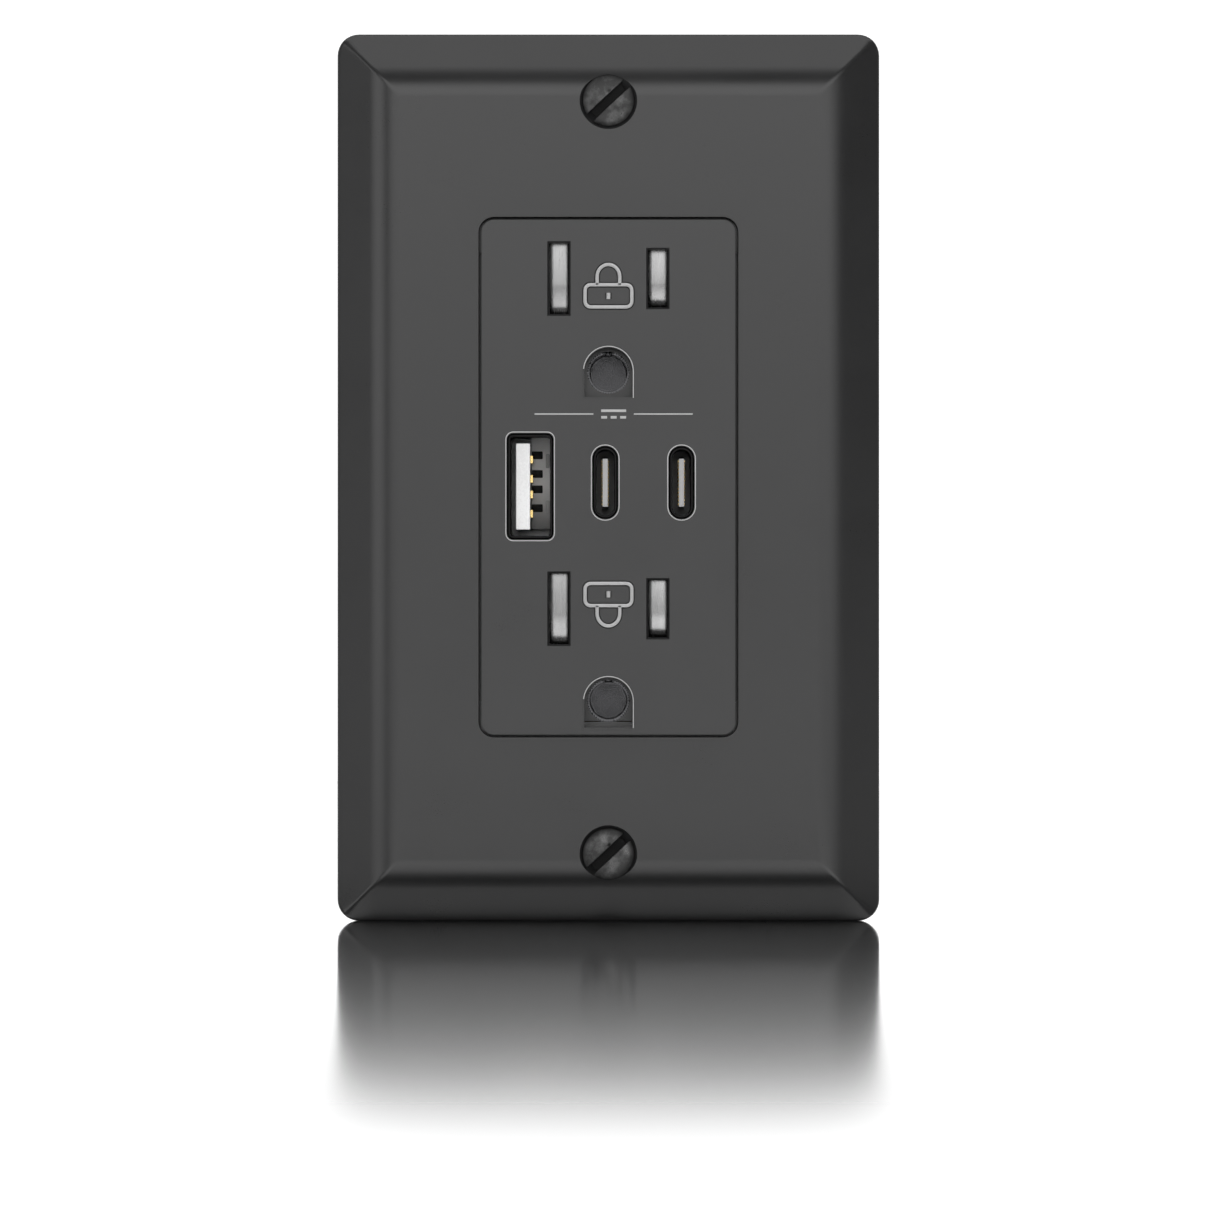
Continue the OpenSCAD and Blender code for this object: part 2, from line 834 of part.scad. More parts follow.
// Bus bar drawn on +X: two jaws, a backbone, two terminal plates and the link between them
module power_bus(jaw_h) {
    for (z = [upper_z, lower_z])
        translate([0, 0, z]) {
            along_z(-jaw_h / 2, jaw_h / 2)
                for (s = [-1, 1])
                    translate([hot_x, 0])
                        jaw_leaf(s);
            block([hot_x - blade_t / 2 - contact_t - 0.25, bus_front, -jaw_h / 2],
                [bus_in + tip, bus_front + bus_t, jaw_h / 2]);
        }
    block([bus_in, bus_front, lower_z - bus_over], [bus_out, bus_front + bus_t, upper_z + bus_over]);
    difference() {
        union() {
            for (s = [-1, 1])
                translate([0, 0, s * terminal_z]) {
                    block([bus_out - tip, bus_front, -clamp_h / 2], [clamp_x, bus_front + bus_t, clamp_h / 2]);
                    block([terminal_plate_x, terminal_y - clamp_half_y, -clamp_h / 2],
                        [clamp_x, bus_front + bus_t, clamp_h / 2]);
                }
            // break-off link
            block([terminal_plate_x, bus_front - 1, -terminal_z], [clamp_x, bus_front + bus_t, terminal_z]);
        }
        for (s = [-1, 1])
            translate([0, terminal_y, s * terminal_z])
                cyl_x(terminal_r + turn_gap, terminal_plate_x - 1, clamp_x + 1);
    }
}

module hot_bus() color("goldenrod")
    power_bus(hot_slot_h - 0.4);

module neutral_bus() color("silver")
    mirror([1, 0, 0])
        power_bus(neutral_slot_h - 0.4);

rivet_r = 0.9;
rivet_x = 6.6;
rivet_z = lower_z - ground_drop;
foot_t = 0.8;
foot_half = 2.6;

// Tube contacts for the ground pins on a strip, with two legs that are riveted to the strap
module ground_bus() color([0.8, 0.7, 0.45]) {
    leg_x = rivet_x + 2.2;
    difference() {
        union() {
            for (z = [upper_z, lower_z])
                translate([0, 0, z - ground_drop])
                    difference() {
                        cyl_y(ground_pin_r + contact_t, contact_front, ground_strip_y + tip);
                        cyl_y(ground_pin_r, contact_front - 1, ground_strip_y + 1);
                        // slit that lets the tube spring open
                        block([-0.4, contact_front - 1, 0], [0.4, ground_strip_y - 1.5, ground_pin_r + 2]);
                    }
            block([-3, ground_strip_y, rivet_z - foot_half], [3, ground_strip_y + bus_t, upper_z - ground_drop + 3]);
            block([-leg_x, ground_strip_y, rivet_z - foot_half], [leg_x, ground_strip_y + bus_t, rivet_z + foot_half]);
            both_sides() {
                block([leg_x - foot_t, 0, rivet_z - foot_half], [leg_x, ground_strip_y + bus_t, rivet_z + foot_half]);
                block([rivet_x - 1.8, 0, rivet_z - foot_half], [leg_x, foot_t, rivet_z + foot_half]);
            }
        }
        for (s = [-1, 1])
            translate([s * rivet_x, 0, rivet_z])
                cyl_y(rivet_r, -1, 2);
    }
}

module ground_rivets() color("lightgray")
    for (s = [-1, 1])
        translate([s * rivet_x, 0, rivet_z]) {
            cyl_y(rivet_r, -strap_t, foot_t);
            cyl_y(rivet_r + 0.4, foot_t, foot_t + 0.5);
        }

// Insulating plate that holds the contacts and locates the ports
module contact_carrier() color([0.09, 0.09, 0.09]) {
    bottom = rivet_z + foot_half + 0.2;
    difference() {
        union() {
            block([-inner_x + 0.4, tip, bottom], [inner_x - 0.4, carrier_back, end_in - 0.2]);
            block([-notch_half, tip, rivet_z - foot_half], [notch_half, carrier_back, bottom]);
            along_y(carrier_front, carrier_back)
                window_outline(0.1);
        }
        housing_columns(0.1);
        for (z = [upper_z, lower_z])
            translate([0, 0, z])
                along_y(carrier_front - 1, carrier_back + 1) {
                    translate([-hot_x, 0])
                        square([slot_w + 0.3, neutral_slot_h + 0.3], center = true);
                    translate([hot_x, 0])
                        square([slot_w + 0.3, hot_slot_h + 0.3], center = true);
                    translate([0, -ground_drop])
                        circle(r = ground_pin_r + 0.35);
                }
        along_y(carrier_front - 1, carrier_back + 1) {
            port_outline(wide_port_x, wide_port_z, wide_port_t, wide_port_l, wide_port_r, port_gap);
            port_outline(left_port_x, small_port_z, small_port_t, small_port_l, small_port_r, port_gap);
            port_outline(right_port_x, small_port_z, small_port_t, small_port_l, small_port_r, port_gap);
        }
    }
}

// ---- Shutters ----

// Tray that guides one shutter behind the face
module shutter_tray() {
    difference() {
        along_y(face_back, tray_back)
            rounded(2 * (tray_in + tray_wall), 2 * (tray_in_h + tray_wall), 0.6);
        along_y(face_back - 1, tray_front)
            square([2 * tray_in, 2 * tray_in_h], center = true);
        along_y(tray_front - 1, tray_back + 1) {
            translate([-hot_x, 0])
                square([slot_w + 0.2, neutral_slot_h + 0.2], center = true);
            translate([hot_x, 0])
                square([slot_w + 0.2, hot_slot_h + 0.2], center = true);
        }
    }
}

module shutter_tray_upper() color([0.2, 0.2, 0.2])
    translate([0, 0, upper_z])
        shutter_tray();

module shutter_tray_lower() color([0.2, 0.2, 0.2])
    translate([0, 0, lower_z])
        shutter_tray();

// Sliding shutter: a ramp behind each slot and a window to the left of each ramp
module shutter() {
    window_h = neutral_slot_h + 0.3;
    half = shutter_travel / 2;
    difference() {
        union() {
            along_y(shutter_face, shutter_back)
                translate([shutter_left, -shutter_h / 2])
                    square([shutter_right - shutter_left, shutter_h]);
            for (x = [-hot_x, hot_x])
                along_z(-shutter_h / 2, shutter_h / 2)
                    polygon([
                        [x - half, shutter_back],
                        [x - half, shutter_back - 0.1],
                        [x + half, shutter_front],
                        [x + half + 0.5, shutter_front],
                        [x + half + 0.5, shutter_back]
                    ]);
        }
        for (x = [-hot_x, hot_x])
            translate([x - half, 0, 0])
                block([-shutter_travel + 0.35, shutter_face - 1, -window_h / 2],
                    [0, shutter_back + 1, window_h / 2]);
        // seat of the return spring
        cyl_x(spring_r + 0.1, shutter_right - 0.3, shutter_right + 1);
    }
}

module shutter_upper() color("silver")
    translate([0, 0, upper_z])
        shutter();

module shutter_lower() color("silver")
    translate([0, 0, lower_z])
        shutter();

spring_y = shutter_back - spring_r - 0.15;

// Outer form of a return spring, between the shutter and the tray's end wall
module return_spring() {
    translate([0, spring_y, 0])
        difference() {
            cyl_x(spring_r, shutter_right + tip, tray_in - tip);
            cyl_x(spring_r - spring_wire, shutter_right - 1, tray_in + 1);
        }
}

module shutter_spring_upper() color("lightsteelblue")
    translate([0, 0, upper_z])
        return_spring();

module shutter_spring_lower() color("lightsteelblue")
    translate([0, 0, lower_z])
        return_spring();

// ---- Ports ----

shell_front = face_front + shell_recess;
port_back_t = 1.4;
port_back = port_board_y - port_back_t;

module port_shell(x, z, t, l, r) {
    difference() {
        along_y(shell_front, port_board_y)
            port_outline(x, z, t, l, r, 0);
        along_y(shell_front - 1, port_board_y + 1)
            port_outline(x, z, t, l, r, -shell_t);
    }
}

module usb_a_shell() color([0.1, 0.1, 0.1])
    port_shell(wide_port_x, wide_port_z, wide_port_t, wide_port_l, wide_port_r);

module usb_c_left_shell() color([0.1, 0.1, 0.1])
    port_shell(left_port_x, small_port_z, small_port_t, small_port_l, small_port_r);

module usb_c_right_shell() color([0.1, 0.1, 0.1])
    port_shell(right_port_x, small_port_z, small_port_t, small_port_l, small_port_r);

wide_tongue_t = 1.84;
wide_tongue_l = 11.1;
wide_tongue_shift = -0.93;
small_tongue_t = 0.7;
small_tongue_l = 6.2;
tongue_recess = 0.9;

// Insulator: a back that fills the shell and a tongue that stands out of it
module port_insulator(x, z, t, l, r, tongue_t, tongue_l, shift) {
    along_y(port_back, port_board_y)
        port_outline(x, z, t, l, r, -shell_t);
    block([x + shift - tongue_t / 2, shell_front + tongue_recess, z - tongue_l / 2],
        [x + shift + tongue_t / 2, port_back + tip, z + tongue_l / 2]);
}

module usb_a_tongue() color("white")
    port_insulator(wide_port_x, wide_port_z, wide_port_t, wide_port_l, wide_port_r,
        wide_tongue_t, wide_tongue_l, wide_tongue_shift);

module usb_c_left_tongue() color("lightgray")
    port_insulator(left_port_x, small_port_z, small_port_t, small_port_l, small_port_r,
        small_tongue_t, small_tongue_l, 0);

module usb_c_right_tongue() color("lightgray")
    port_insulator(right_port_x, small_port_z, small_port_t, small_port_l, small_port_r,
        small_tongue_t, small_tongue_l, 0);

wide_contact_pitch = [-3.5, -1.0, 1.0, 3.5];

// Four spring contacts along the open side of the wide port's tongue
module usb_a_contacts() color("gold")
    for (dz = wide_contact_pitch) {
        x = wide_port_x + wide_tongue_shift + wide_tongue_t / 2;
        z = wide_port_z + dz;
        block([x, shell_front + tongue_recess + 1.2, z - 0.5], [x + 0.35, port_back, z + 0.5]);
    }

// Two rows of fine contacts on a small port's tongue
module small_contacts(x) {
    for (s = [-1, 1], i = [-5.5 : 5.5])
        translate([x + s * (small_tongue_t / 2 + 0.05), 0, small_port_z + i * 0.5])
            block([-0.05, shell_front + tongue_recess + 0.8, -0.13], [0.05, port_back, 0.13]);
}

module usb_c_left_contacts() color("gold")
    small_contacts(left_port_x);

module usb_c_right_contacts() color("gold")
    small_contacts(right_port_x);

// ---- Boards and power supply ----

module port_board() color("darkgreen")
    block([-port_board_w / 2, port_board_y, port_board_bottom],
        [port_board_w / 2, port_board_y + board_t, port_board_top]);

header_x = right_port_x - 1.6;
header_z = port_board_bottom + 1.6;
pin_w = 0.64;
header_pitch = 1.6;

// Pins that join the two boards, in a plastic base
module link_header() color("dimgray") {
    block([header_x - 2.6, port_board_y + board_t, header_z - 1.2],
        [header_x + 2.6, port_board_y + board_t + 2.5, header_z + 1.2]);
    for (i = [-1 : 1])
        translate([header_x + i * header_pitch, 0, header_z])
            block([-pin_w / 2, port_board_y + board_t + 2.5 - tip, -pin_w / 2],
                [pin_w / 2, main_board_y, pin_w / 2]);
}

lead_r = 0.9;
lead_x = narrow_in - lead_r - part_gap;
lead_z = -2;

// Fibre sheet between the live contacts and the power supply
module insulation_barrier() color([0.75, 0.72, 0.6])
    difference() {
        block([-inner_x + 0.4, barrier_y, -end_in + 0.2], [inner_x - 0.4, barrier_y + barrier_t, end_in - 0.2]);
        for (s = [-1, 1])
            translate([s * lead_x, 0, lead_z])
                cyl_y(lead_r, 0, housing_depth);
        block([header_x - 2.6, 0, header_z - 0.8], [header_x + 2.6, housing_depth, header_z + 0.8]);
        housing_columns(0.1);
    }

module main_board() color("darkgreen")
    block([-board_in, main_board_y, -end_in + 0.4], [board_in, main_board_y + board_t, end_in - 0.4]);

// Transformer, standing on the main board
coil_x = -2.5;
coil_z = 4;
core_w = 13;
core_h = 13.5;
core_leg = 2.6;
core_t = 5;
core_high = 12;
core_mid = main_board_y - 1.2 - core_high / 2;

// Two E-shaped halves: a frame around the coil with a middle leg, in the XY plane
module transformer_core() color([0.2, 0.2, 0.21])
    translate([coil_x, core_mid, coil_z])
        along_z(-core_t / 2, core_t / 2) {
            difference() {
                square([core_w, core_high], center = true);
                square([core_w - 2 * core_leg, core_high - 2 * core_leg], center = true);
            }
            square([core_leg * 1.6, core_high - core_leg], center = true);
        }

bobbin_high = core_high - 2 * core_leg - 0.2;
bobbin_r = (core_w - 2 * core_leg) / 2 - 0.15;

module transformer_bobbin() color([0.75, 0.7, 0.3])
    translate([coil_x, core_mid, coil_z])
        difference() {
            union() {
                for (s = [-1, 1])
                    translate([0, s * (bobbin_high / 2 - 0.4), 0])
                        along_y(-0.4, 0.4)
                            square([2 * bobbin_r, core_h], center = true);
                along_y(-bobbin_high / 2, bobbin_high / 2)
                    square([core_leg * 1.6 + 1.2, core_t + 1.2], center = true);
            }
            along_y(-bobbin_high, bobbin_high)
                square([core_leg * 1.6, core_t], center = true);
        }

module transformer_winding() color([0.9, 0.75, 0.2])
    translate([coil_x, core_mid, coil_z])
        along_y(-bobbin_high / 2 + 0.8, bobbin_high / 2 - 0.8)
            difference() {
                rounded(2 * bobbin_r - 0.3, core_h - 1, 2);
                square([core_leg * 1.6 + 1.2, core_t + 1.2], center = true);
            }

input_cap_r = 5;
input_cap_l = 16;
input_cap_z = -22;

// Input capacitor, lying along Z
module input_capacitor() color([0.15, 0.16, 0.2])
    translate([6.8, main_board_y - input_cap_r - 0.3, input_cap_z - input_cap_l / 2])
        difference() {
            cylinder(h = input_cap_l, r = input_cap_r);
            translate([0, 0, 1.6])
                difference() {
                    cylinder(h = 0.7, r = input_cap_r + 1);
                    cylinder(h = 0.7, r = input_cap_r - 0.25);
                }
        }

output_cap_r = 3.15;
output_cap_l = 11;

// Two output capacitors, standing on the board
module output_capacitors() color([0.2, 0.22, 0.3])
    for (x = [-7.5, 0.5])
        translate([x, 0, 21])
            difference() {
                cyl_y(output_cap_r, main_board_y - output_cap_l, main_board_y);
                translate([0, main_board_y - 2.2, 0])
                    difference() {
                        cyl_y(output_cap_r + 1, 0, 0.5);
                        cyl_y(output_cap_r - 0.2, 0, 0.5);
                    }
            }

module bridge_rectifier() color([0.12, 0.12, 0.12])
    block([5.5, main_board_y - 2.6, -9.4], [12, main_board_y, -3]);

// Controller chips: two on the main board and one on the back of the port board
module controller_chips() color([0.1, 0.1, 0.1]) {
    block([6.2, main_board_y - 1.5, 12], [12.2, main_board_y, 17]);
    block([6.5, main_board_y - 1.5, 22], [11.5, main_board_y, 27]);
    block([-11, port_board_y + board_t, -3], [-6, port_board_y + board_t + 1, 2]);
}

choke_r = 5.2;
choke_z = -14;

// Toroidal choke, standing on edge on the board
module choke() color([0.85, 0.7, 0.15])
    translate([-6.5, main_board_y - 3.4, choke_z])
        rotate([90, 0, 0])
            rotate_extrude()
                translate([choke_r - 2, 0])
                    rounded(3.6, 4.4, 1.4);

module safety_capacitor() color([0.9, 0.75, 0.1])
    along_y(main_board_y - 9.5, main_board_y)
        translate([-6.2, -25.6])
            rounded(13, 5.4, 0.6);

module fuse() color([0.25, 0.5, 0.3])
    translate([8.8, 0, 5])
        cyl_y(2.4, main_board_y - 7, main_board_y);

// Insulated leads from the bus bars to the main board
module supply_lead() {
    translate([lead_x, 0, lead_z])
        cyl_y(lead_r, bus_front + bus_t, main_board_y);
}

module supply_lead_hot() color([0.12, 0.12, 0.12])
    supply_lead();

module supply_lead_neutral() color("white")
    mirror([1, 0, 0])
        supply_lead();

// ---- Nodes ----

wall_plate();
plate_screw_top();
plate_screw_bottom();
front_cover();
mounting_strap();
box_screw_top();
box_screw_bottom();
box_screw_retainer_top();
box_screw_retainer_bottom();
ground_screw();
ground_clamp();
rear_housing();
housing_screws();
contact_carrier();
shutter_tray_upper();
shutter_tray_lower();
shutter_upper();
shutter_lower();
shutter_spring_upper();
shutter_spring_lower();
hot_bus();
neutral_bus();
ground_bus();
ground_rivets();
terminal_screw_hot_upper();
terminal_screw_hot_lower();
terminal_screw_neutral_upper();
terminal_screw_neutral_lower();
pressure_plate_hot_upper();
pressure_plate_hot_lower();
pressure_plate_neutral_upper();
pressure_plate_neutral_lower();
usb_a_shell();
usb_a_tongue();
usb_a_contacts();
usb_c_left_shell();
usb_c_left_tongue();
usb_c_left_contacts();
usb_c_right_shell();
usb_c_right_tongue();
usb_c_right_contacts();
port_board();
link_header();
insulation_barrier();
main_board();
transformer_core();
transformer_bobbin();
transformer_winding();
input_capacitor();
output_capacitors();
bridge_rectifier();
controller_chips();
choke();
safety_capacitor();
fuse();
supply_lead_hot();
supply_lead_neutral();
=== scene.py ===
import json
import math

import bmesh
import bpy
import numpy as np
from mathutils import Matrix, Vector


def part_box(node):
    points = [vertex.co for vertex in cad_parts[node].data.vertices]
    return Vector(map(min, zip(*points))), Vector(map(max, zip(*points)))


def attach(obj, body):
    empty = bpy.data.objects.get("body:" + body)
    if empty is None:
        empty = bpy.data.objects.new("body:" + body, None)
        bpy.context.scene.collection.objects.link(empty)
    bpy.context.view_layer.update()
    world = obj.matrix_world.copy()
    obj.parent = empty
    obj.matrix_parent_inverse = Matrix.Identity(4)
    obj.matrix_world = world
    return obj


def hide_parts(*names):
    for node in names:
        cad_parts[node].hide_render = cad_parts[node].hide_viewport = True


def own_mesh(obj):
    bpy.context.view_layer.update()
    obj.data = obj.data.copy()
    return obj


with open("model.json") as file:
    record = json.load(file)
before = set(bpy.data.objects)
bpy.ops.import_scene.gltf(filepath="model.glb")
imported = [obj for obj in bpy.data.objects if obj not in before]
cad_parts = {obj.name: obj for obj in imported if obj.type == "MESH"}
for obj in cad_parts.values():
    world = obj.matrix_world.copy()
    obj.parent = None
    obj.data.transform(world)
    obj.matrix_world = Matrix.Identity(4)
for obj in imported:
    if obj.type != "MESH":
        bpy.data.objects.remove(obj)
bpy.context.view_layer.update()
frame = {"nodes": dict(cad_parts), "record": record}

scene = bpy.context.scene
mm = 0.001
nodes = frame["nodes"]
record = frame["record"]
slotOf = {part["node"]: part["material_slot"] for part in record["subparts"]}
bodyOf = {n: body for body, held in record["behaviour"]["bodies"].items() for n in held}
print("frame loaded:", len(nodes), "nodes")

# The camera looks straight at the front, level, a little left of the middle and low
view = {"x": -0.76, "z": -16.1, "distance": 1081.0, "lens": 250.0, "sensor": 36.0,
        "near": 50.0, "far": 20000.0}


def placeCamera(v):
    # A level camera at the view's place, looking along Y
    data = bpy.data.cameras.new("frontCamera")
    data.lens = v["lens"]
    data.sensor_width = v["sensor"]
    data.clip_start = v["near"] * mm
    data.clip_end = v["far"] * mm
    camera = bpy.data.objects.new("frontCamera", data)
    scene.collection.objects.link(camera)
    camera.location = (v["x"] * mm, -v["distance"] * mm, v["z"] * mm)
    camera.rotation_euler = (math.radians(90), 0, 0)
    scene.camera = camera


placeCamera(view)


class Signal:
    # A shader socket; arithmetic on it adds Math nodes to the same tree
    def __init__(self, paint, socket):
        self.paint = paint
        self.socket = socket

    def math(self, operation, first, second=0.0, clamp=False):
        return self.paint.node("ShaderNodeMath", {"operation": operation, "use_clamp": clamp},
                               {0: first, 1: second})

    def __add__(self, other):
        return self.math("ADD", self, other)

    def __radd__(self, other):
        return self.math("ADD", other, self)

    def __sub__(self, other):
        return self.math("SUBTRACT", self, other)

    def __rsub__(self, other):
        return self.math("SUBTRACT", other, self)

    def __mul__(self, other):
        return self.math("MULTIPLY", self, other)

    def __rmul__(self, other):
        return self.math("MULTIPLY", other, self)

    def __truediv__(self, other):
        return self.math("DIVIDE", self, other)

    def power(self, exponent):
        return self.math("POWER", self, exponent)

    def least(self, other):
        return self.math("MINIMUM", self, other)

    def most(self, other):
        return self.math("MAXIMUM", self, other)

    def size(self):
        # How far from zero, whichever way
        return self.math("ABSOLUTE", self)

    def above(self, low, high):
        # 0 below low, 1 above high, straight in between
        return self.math("MULTIPLY", self - low, 1.0 / (high - low), clamp=True)


class Paint:
    # One procedural material: a principled surface and what feeds it
    def __init__(self, name, metallic=0.0, coat=0.0, specular=0.5):
        self.material = bpy.data.materials.new(name)
        self.material.use_nodes = True
        self.tree = self.material.node_tree
        self.tree.nodes.clear()
        self.surface = self.tree.nodes.new("ShaderNodeBsdfPrincipled")
        output = self.tree.nodes.new("ShaderNodeOutputMaterial")
        self.tree.links.new(self.surface.outputs[0], output.inputs[0])
        steady = {"Metallic": metallic, "IOR": 1.5, "Specular IOR Level": specular,
                  "Coat Weight": coat, "Coat Roughness": 0.1}
        for key, value in steady.items():
            self.surface.inputs[key].default_value = value

    def plug(self, socket, value):
        if isinstance(value, Signal):
            self.tree.links.new(value.socket, socket)
        elif isinstance(value, (tuple, list)) and socket.type == "RGBA" and len(value) == 3:
            socket.default_value = (*value, 1.0)
        else:
            socket.default_value = value

    def node(self, kind, settings=None, inputs=None, output=0):
        made = self.tree.nodes.new(kind)
        for key, value in (settings or {}).items():
            if key == "stops":
                ramp = made.color_ramp
                while len(ramp.elements) < len(value):
                    ramp.elements.new(0.5)
                for element, (position, colour) in zip(ramp.elements, value):
                    element.position = position
                    element.color = (*colour, 1.0)
            else:
                setattr(made, key, value)
        for key, value in (inputs or {}).items():
            self.plug(made.inputs[key], value)
        return Signal(self, made.outputs[output])

    def place(self, stretch=(1.0, 1.0, 1.0)):
        # Object coordinates, stretched for brushed or drawn patterns
        point = self.node("ShaderNodeTexCoord", output="Object")
        if stretch == (1.0, 1.0, 1.0):
            return point
        return self.node("ShaderNodeMapping", {}, {"Vector": point, "Scale": stretch})

    def noise(self, size, detail=2.0, stretch=(1.0, 1.0, 1.0), roughness=0.5):
        # Soft noise whose blotches are about this many millimetres across
        return self.node("ShaderNodeTexNoise", {},
                         {"Vector": self.place(stretch), "Scale": 1.0 / (size * mm),
                          "Detail": detail, "Roughness": roughness})

    def axis(self, letter):
        # One of the object's own coordinates, in millimetres
        parts = self.node("ShaderNodeSeparateXYZ", {}, {"Vector": self.place()}, output=letter)
        return parts * 1000.0

    def mix(self, share, first, second):
        return self.node("ShaderNodeMix", {"data_type": "RGBA"},
                         {0: share, 6: first, 7: second}, output=2)

    def set(self, **values):
        for key, value in values.items():
            self.plug(self.surface.inputs[key.replace("_", " ")], value)

    def bump(self, height, distance, strength=1.0):
        made = self.node("ShaderNodeBump", {},
                         {"Strength": strength, "Distance": distance * mm, "Height": height})
        self.set(Normal=made)


class Surround(Paint):
    # The world's light, painted by direction
    def __init__(self, name):
        world = bpy.data.worlds.new(name)
        world.use_nodes = True
        scene.world = world
        self.tree = world.node_tree
        self.surface = self.tree.nodes["Background"]

    def direction(self, letter):
        point = self.node("ShaderNodeTexCoord", output="Generated")
        return self.node("ShaderNodeSeparateXYZ", {}, {"Vector": point}, output=letter)


def shade(colour, factor):
    # The colour times the factor, no brighter than white
    return tuple(min(1.0, c * factor) for c in colour)


def plastic(name, colour, roughness, grain=0.16, depth=0.006, coat=0.0, specular=0.5, sheen=0.06):
    # Moulded plastic: spark-eroded grain, faint flow clouds and a little uneven gloss
    paint = Paint(name, coat=coat, specular=specular)
    cloud = paint.noise(9.0, 3.0)
    speck = paint.noise(grain, 2.0)
    paint.set(Base_Color=paint.mix(cloud, shade(colour, 0.86), shade(colour, 1.14)))
    paint.set(Roughness=roughness - sheen / 2 + cloud * sheen + (speck - 0.5) * 0.08)
    paint.bump(speck * 0.8 + paint.noise(grain * 5, 1.0) * 0.4, depth)
    return paint.material


def metal(name, colour, roughness, stretch=(1.0, 1.0, 1.0), brush=0.12, depth=0.004, stain=0.12):
    # Drawn or plated metal: fine lines along one direction, soft stains, small scratches
    paint = Paint(name, metallic=1.0)
    lines = paint.noise(brush, 3.0, stretch)
    patch = paint.noise(4.0, 4.0)
    paint.set(Base_Color=paint.mix(patch, shade(colour, 1 - stain), shade(colour, 1 + stain / 2)))
    paint.set(Roughness=roughness + (lines - 0.5) * 0.16 + (patch - 0.5) * 0.1)
    paint.bump(lines, depth)
    return paint.material


charcoal = (0.0125, 0.0125, 0.0128)
finishes = {
    "plate_black": plastic("plateBlack", charcoal, 0.30, grain=0.14, depth=0.0022),
    "face_black": plastic("faceBlack", shade(charcoal, 1.3), 0.30, grain=0.12, depth=0.002),
    "housing_black": plastic("housingBlack", (0.012, 0.012, 0.013), 0.5, grain=0.3, depth=0.012),
    "tray_black": plastic("trayBlack", (0.006, 0.006, 0.006), 0.5),
    "carrier_black": plastic("carrierBlack", (0.008, 0.008, 0.008), 0.3, coat=0.3),
    "port_black": plastic("portBlack", (0.004, 0.004, 0.004), 0.4, grain=0.3, specular=0.12),
    "port_white": plastic("portWhite", (0.86, 0.86, 0.86), 0.28, grain=0.3, depth=0.003),
    "port_grey": plastic("portGrey", (0.42, 0.42, 0.42), 0.35),
    "fibre": plastic("vulcanisedFibre", (0.36, 0.16, 0.06), 0.7, grain=0.4, depth=0.02),
    "bobbin": plastic("bobbinNylon", (0.75, 0.72, 0.62), 0.45),
    "tape_yellow": plastic("tapeYellow", (0.75, 0.55, 0.04), 0.3, grain=0.8, depth=0.02),
    "can_sleeve": plastic("canSleeve", (0.01, 0.012, 0.03), 0.25, coat=0.3),
    "chip_black": plastic("chipEpoxy", (0.01, 0.01, 0.01), 0.45, grain=0.08, depth=0.01),
    "film_yellow": plastic("filmYellow", (0.65, 0.4, 0.03), 0.35),
    "fuse_brown": plastic("fuseBrown", (0.09, 0.035, 0.015), 0.35),
    "lead_black": plastic("leadBlack", (0.01, 0.01, 0.01), 0.4, grain=0.3),
    "lead_white": plastic("leadWhite", (0.7, 0.7, 0.68), 0.4, grain=0.3),
    "ferrite": plastic("ferrite", (0.03, 0.03, 0.032), 0.55, grain=0.25, depth=0.03),
    "strap_zinc": metal("strapZinc", (0.62, 0.64, 0.66), 0.32, (1.0, 1.0, 0.08)),
    "screw_zinc": metal("screwZinc", (0.66, 0.67, 0.68), 0.27),
    "brass": metal("brass", (0.78, 0.55, 0.2), 0.28),
    "nickel": metal("nickel", (0.66, 0.64, 0.6), 0.26),
    "spring_steel": metal("springSteel", (0.6, 0.6, 0.6), 0.25),
    "contact_gold": metal("contactGold", (0.85, 0.62, 0.25), 0.22),
    "copper_wire": metal("copperWire", (0.72, 0.3, 0.14), 0.3),
}


def screwBlack():
    # Blackened screw: a dark skin that is rubbed to steel in fine turned rings and blotches
    paint = Paint("screwBlack", specular=0.3)
    patch = paint.noise(1.6, 5.0, roughness=0.65)
    fine = paint.noise(0.12, 3.0)
    rub = patch.above(0.42, 0.72)
    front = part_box("plate_screw_top")[0][1] / mm
    slotShade = paint.axis("Y").above(front + 0.35, front + 0.6)
    paint.set(Base_Color=paint.mix(slotShade, paint.mix(rub, (0.03, 0.03, 0.03), (0.11, 0.11, 0.11)),
                                   (0.006, 0.006, 0.006)))
    paint.set(Metallic=(rub * 0.5 + 0.25) * (1 - slotShade))
    paint.set(Roughness=0.26 + (fine - 0.5) * 0.2 + (1 - rub) * 0.1 + slotShade * 0.5)
    paint.bump(fine * 0.6 + patch, 0.012)
    return paint.material


def groundGreen():
    # Green chromate over steel, worn thin in patches
    paint = Paint("groundGreen", metallic=0.6)
    patch = paint.noise(1.5, 4.0)
    paint.set(Base_Color=paint.mix(patch.above(0.35, 0.75), (0.03, 0.2, 0.07), (0.1, 0.34, 0.14)))
    paint.set(Roughness=0.3 + patch * 0.15)
    paint.bump(paint.noise(0.15, 3.0), 0.006)
    return paint.material


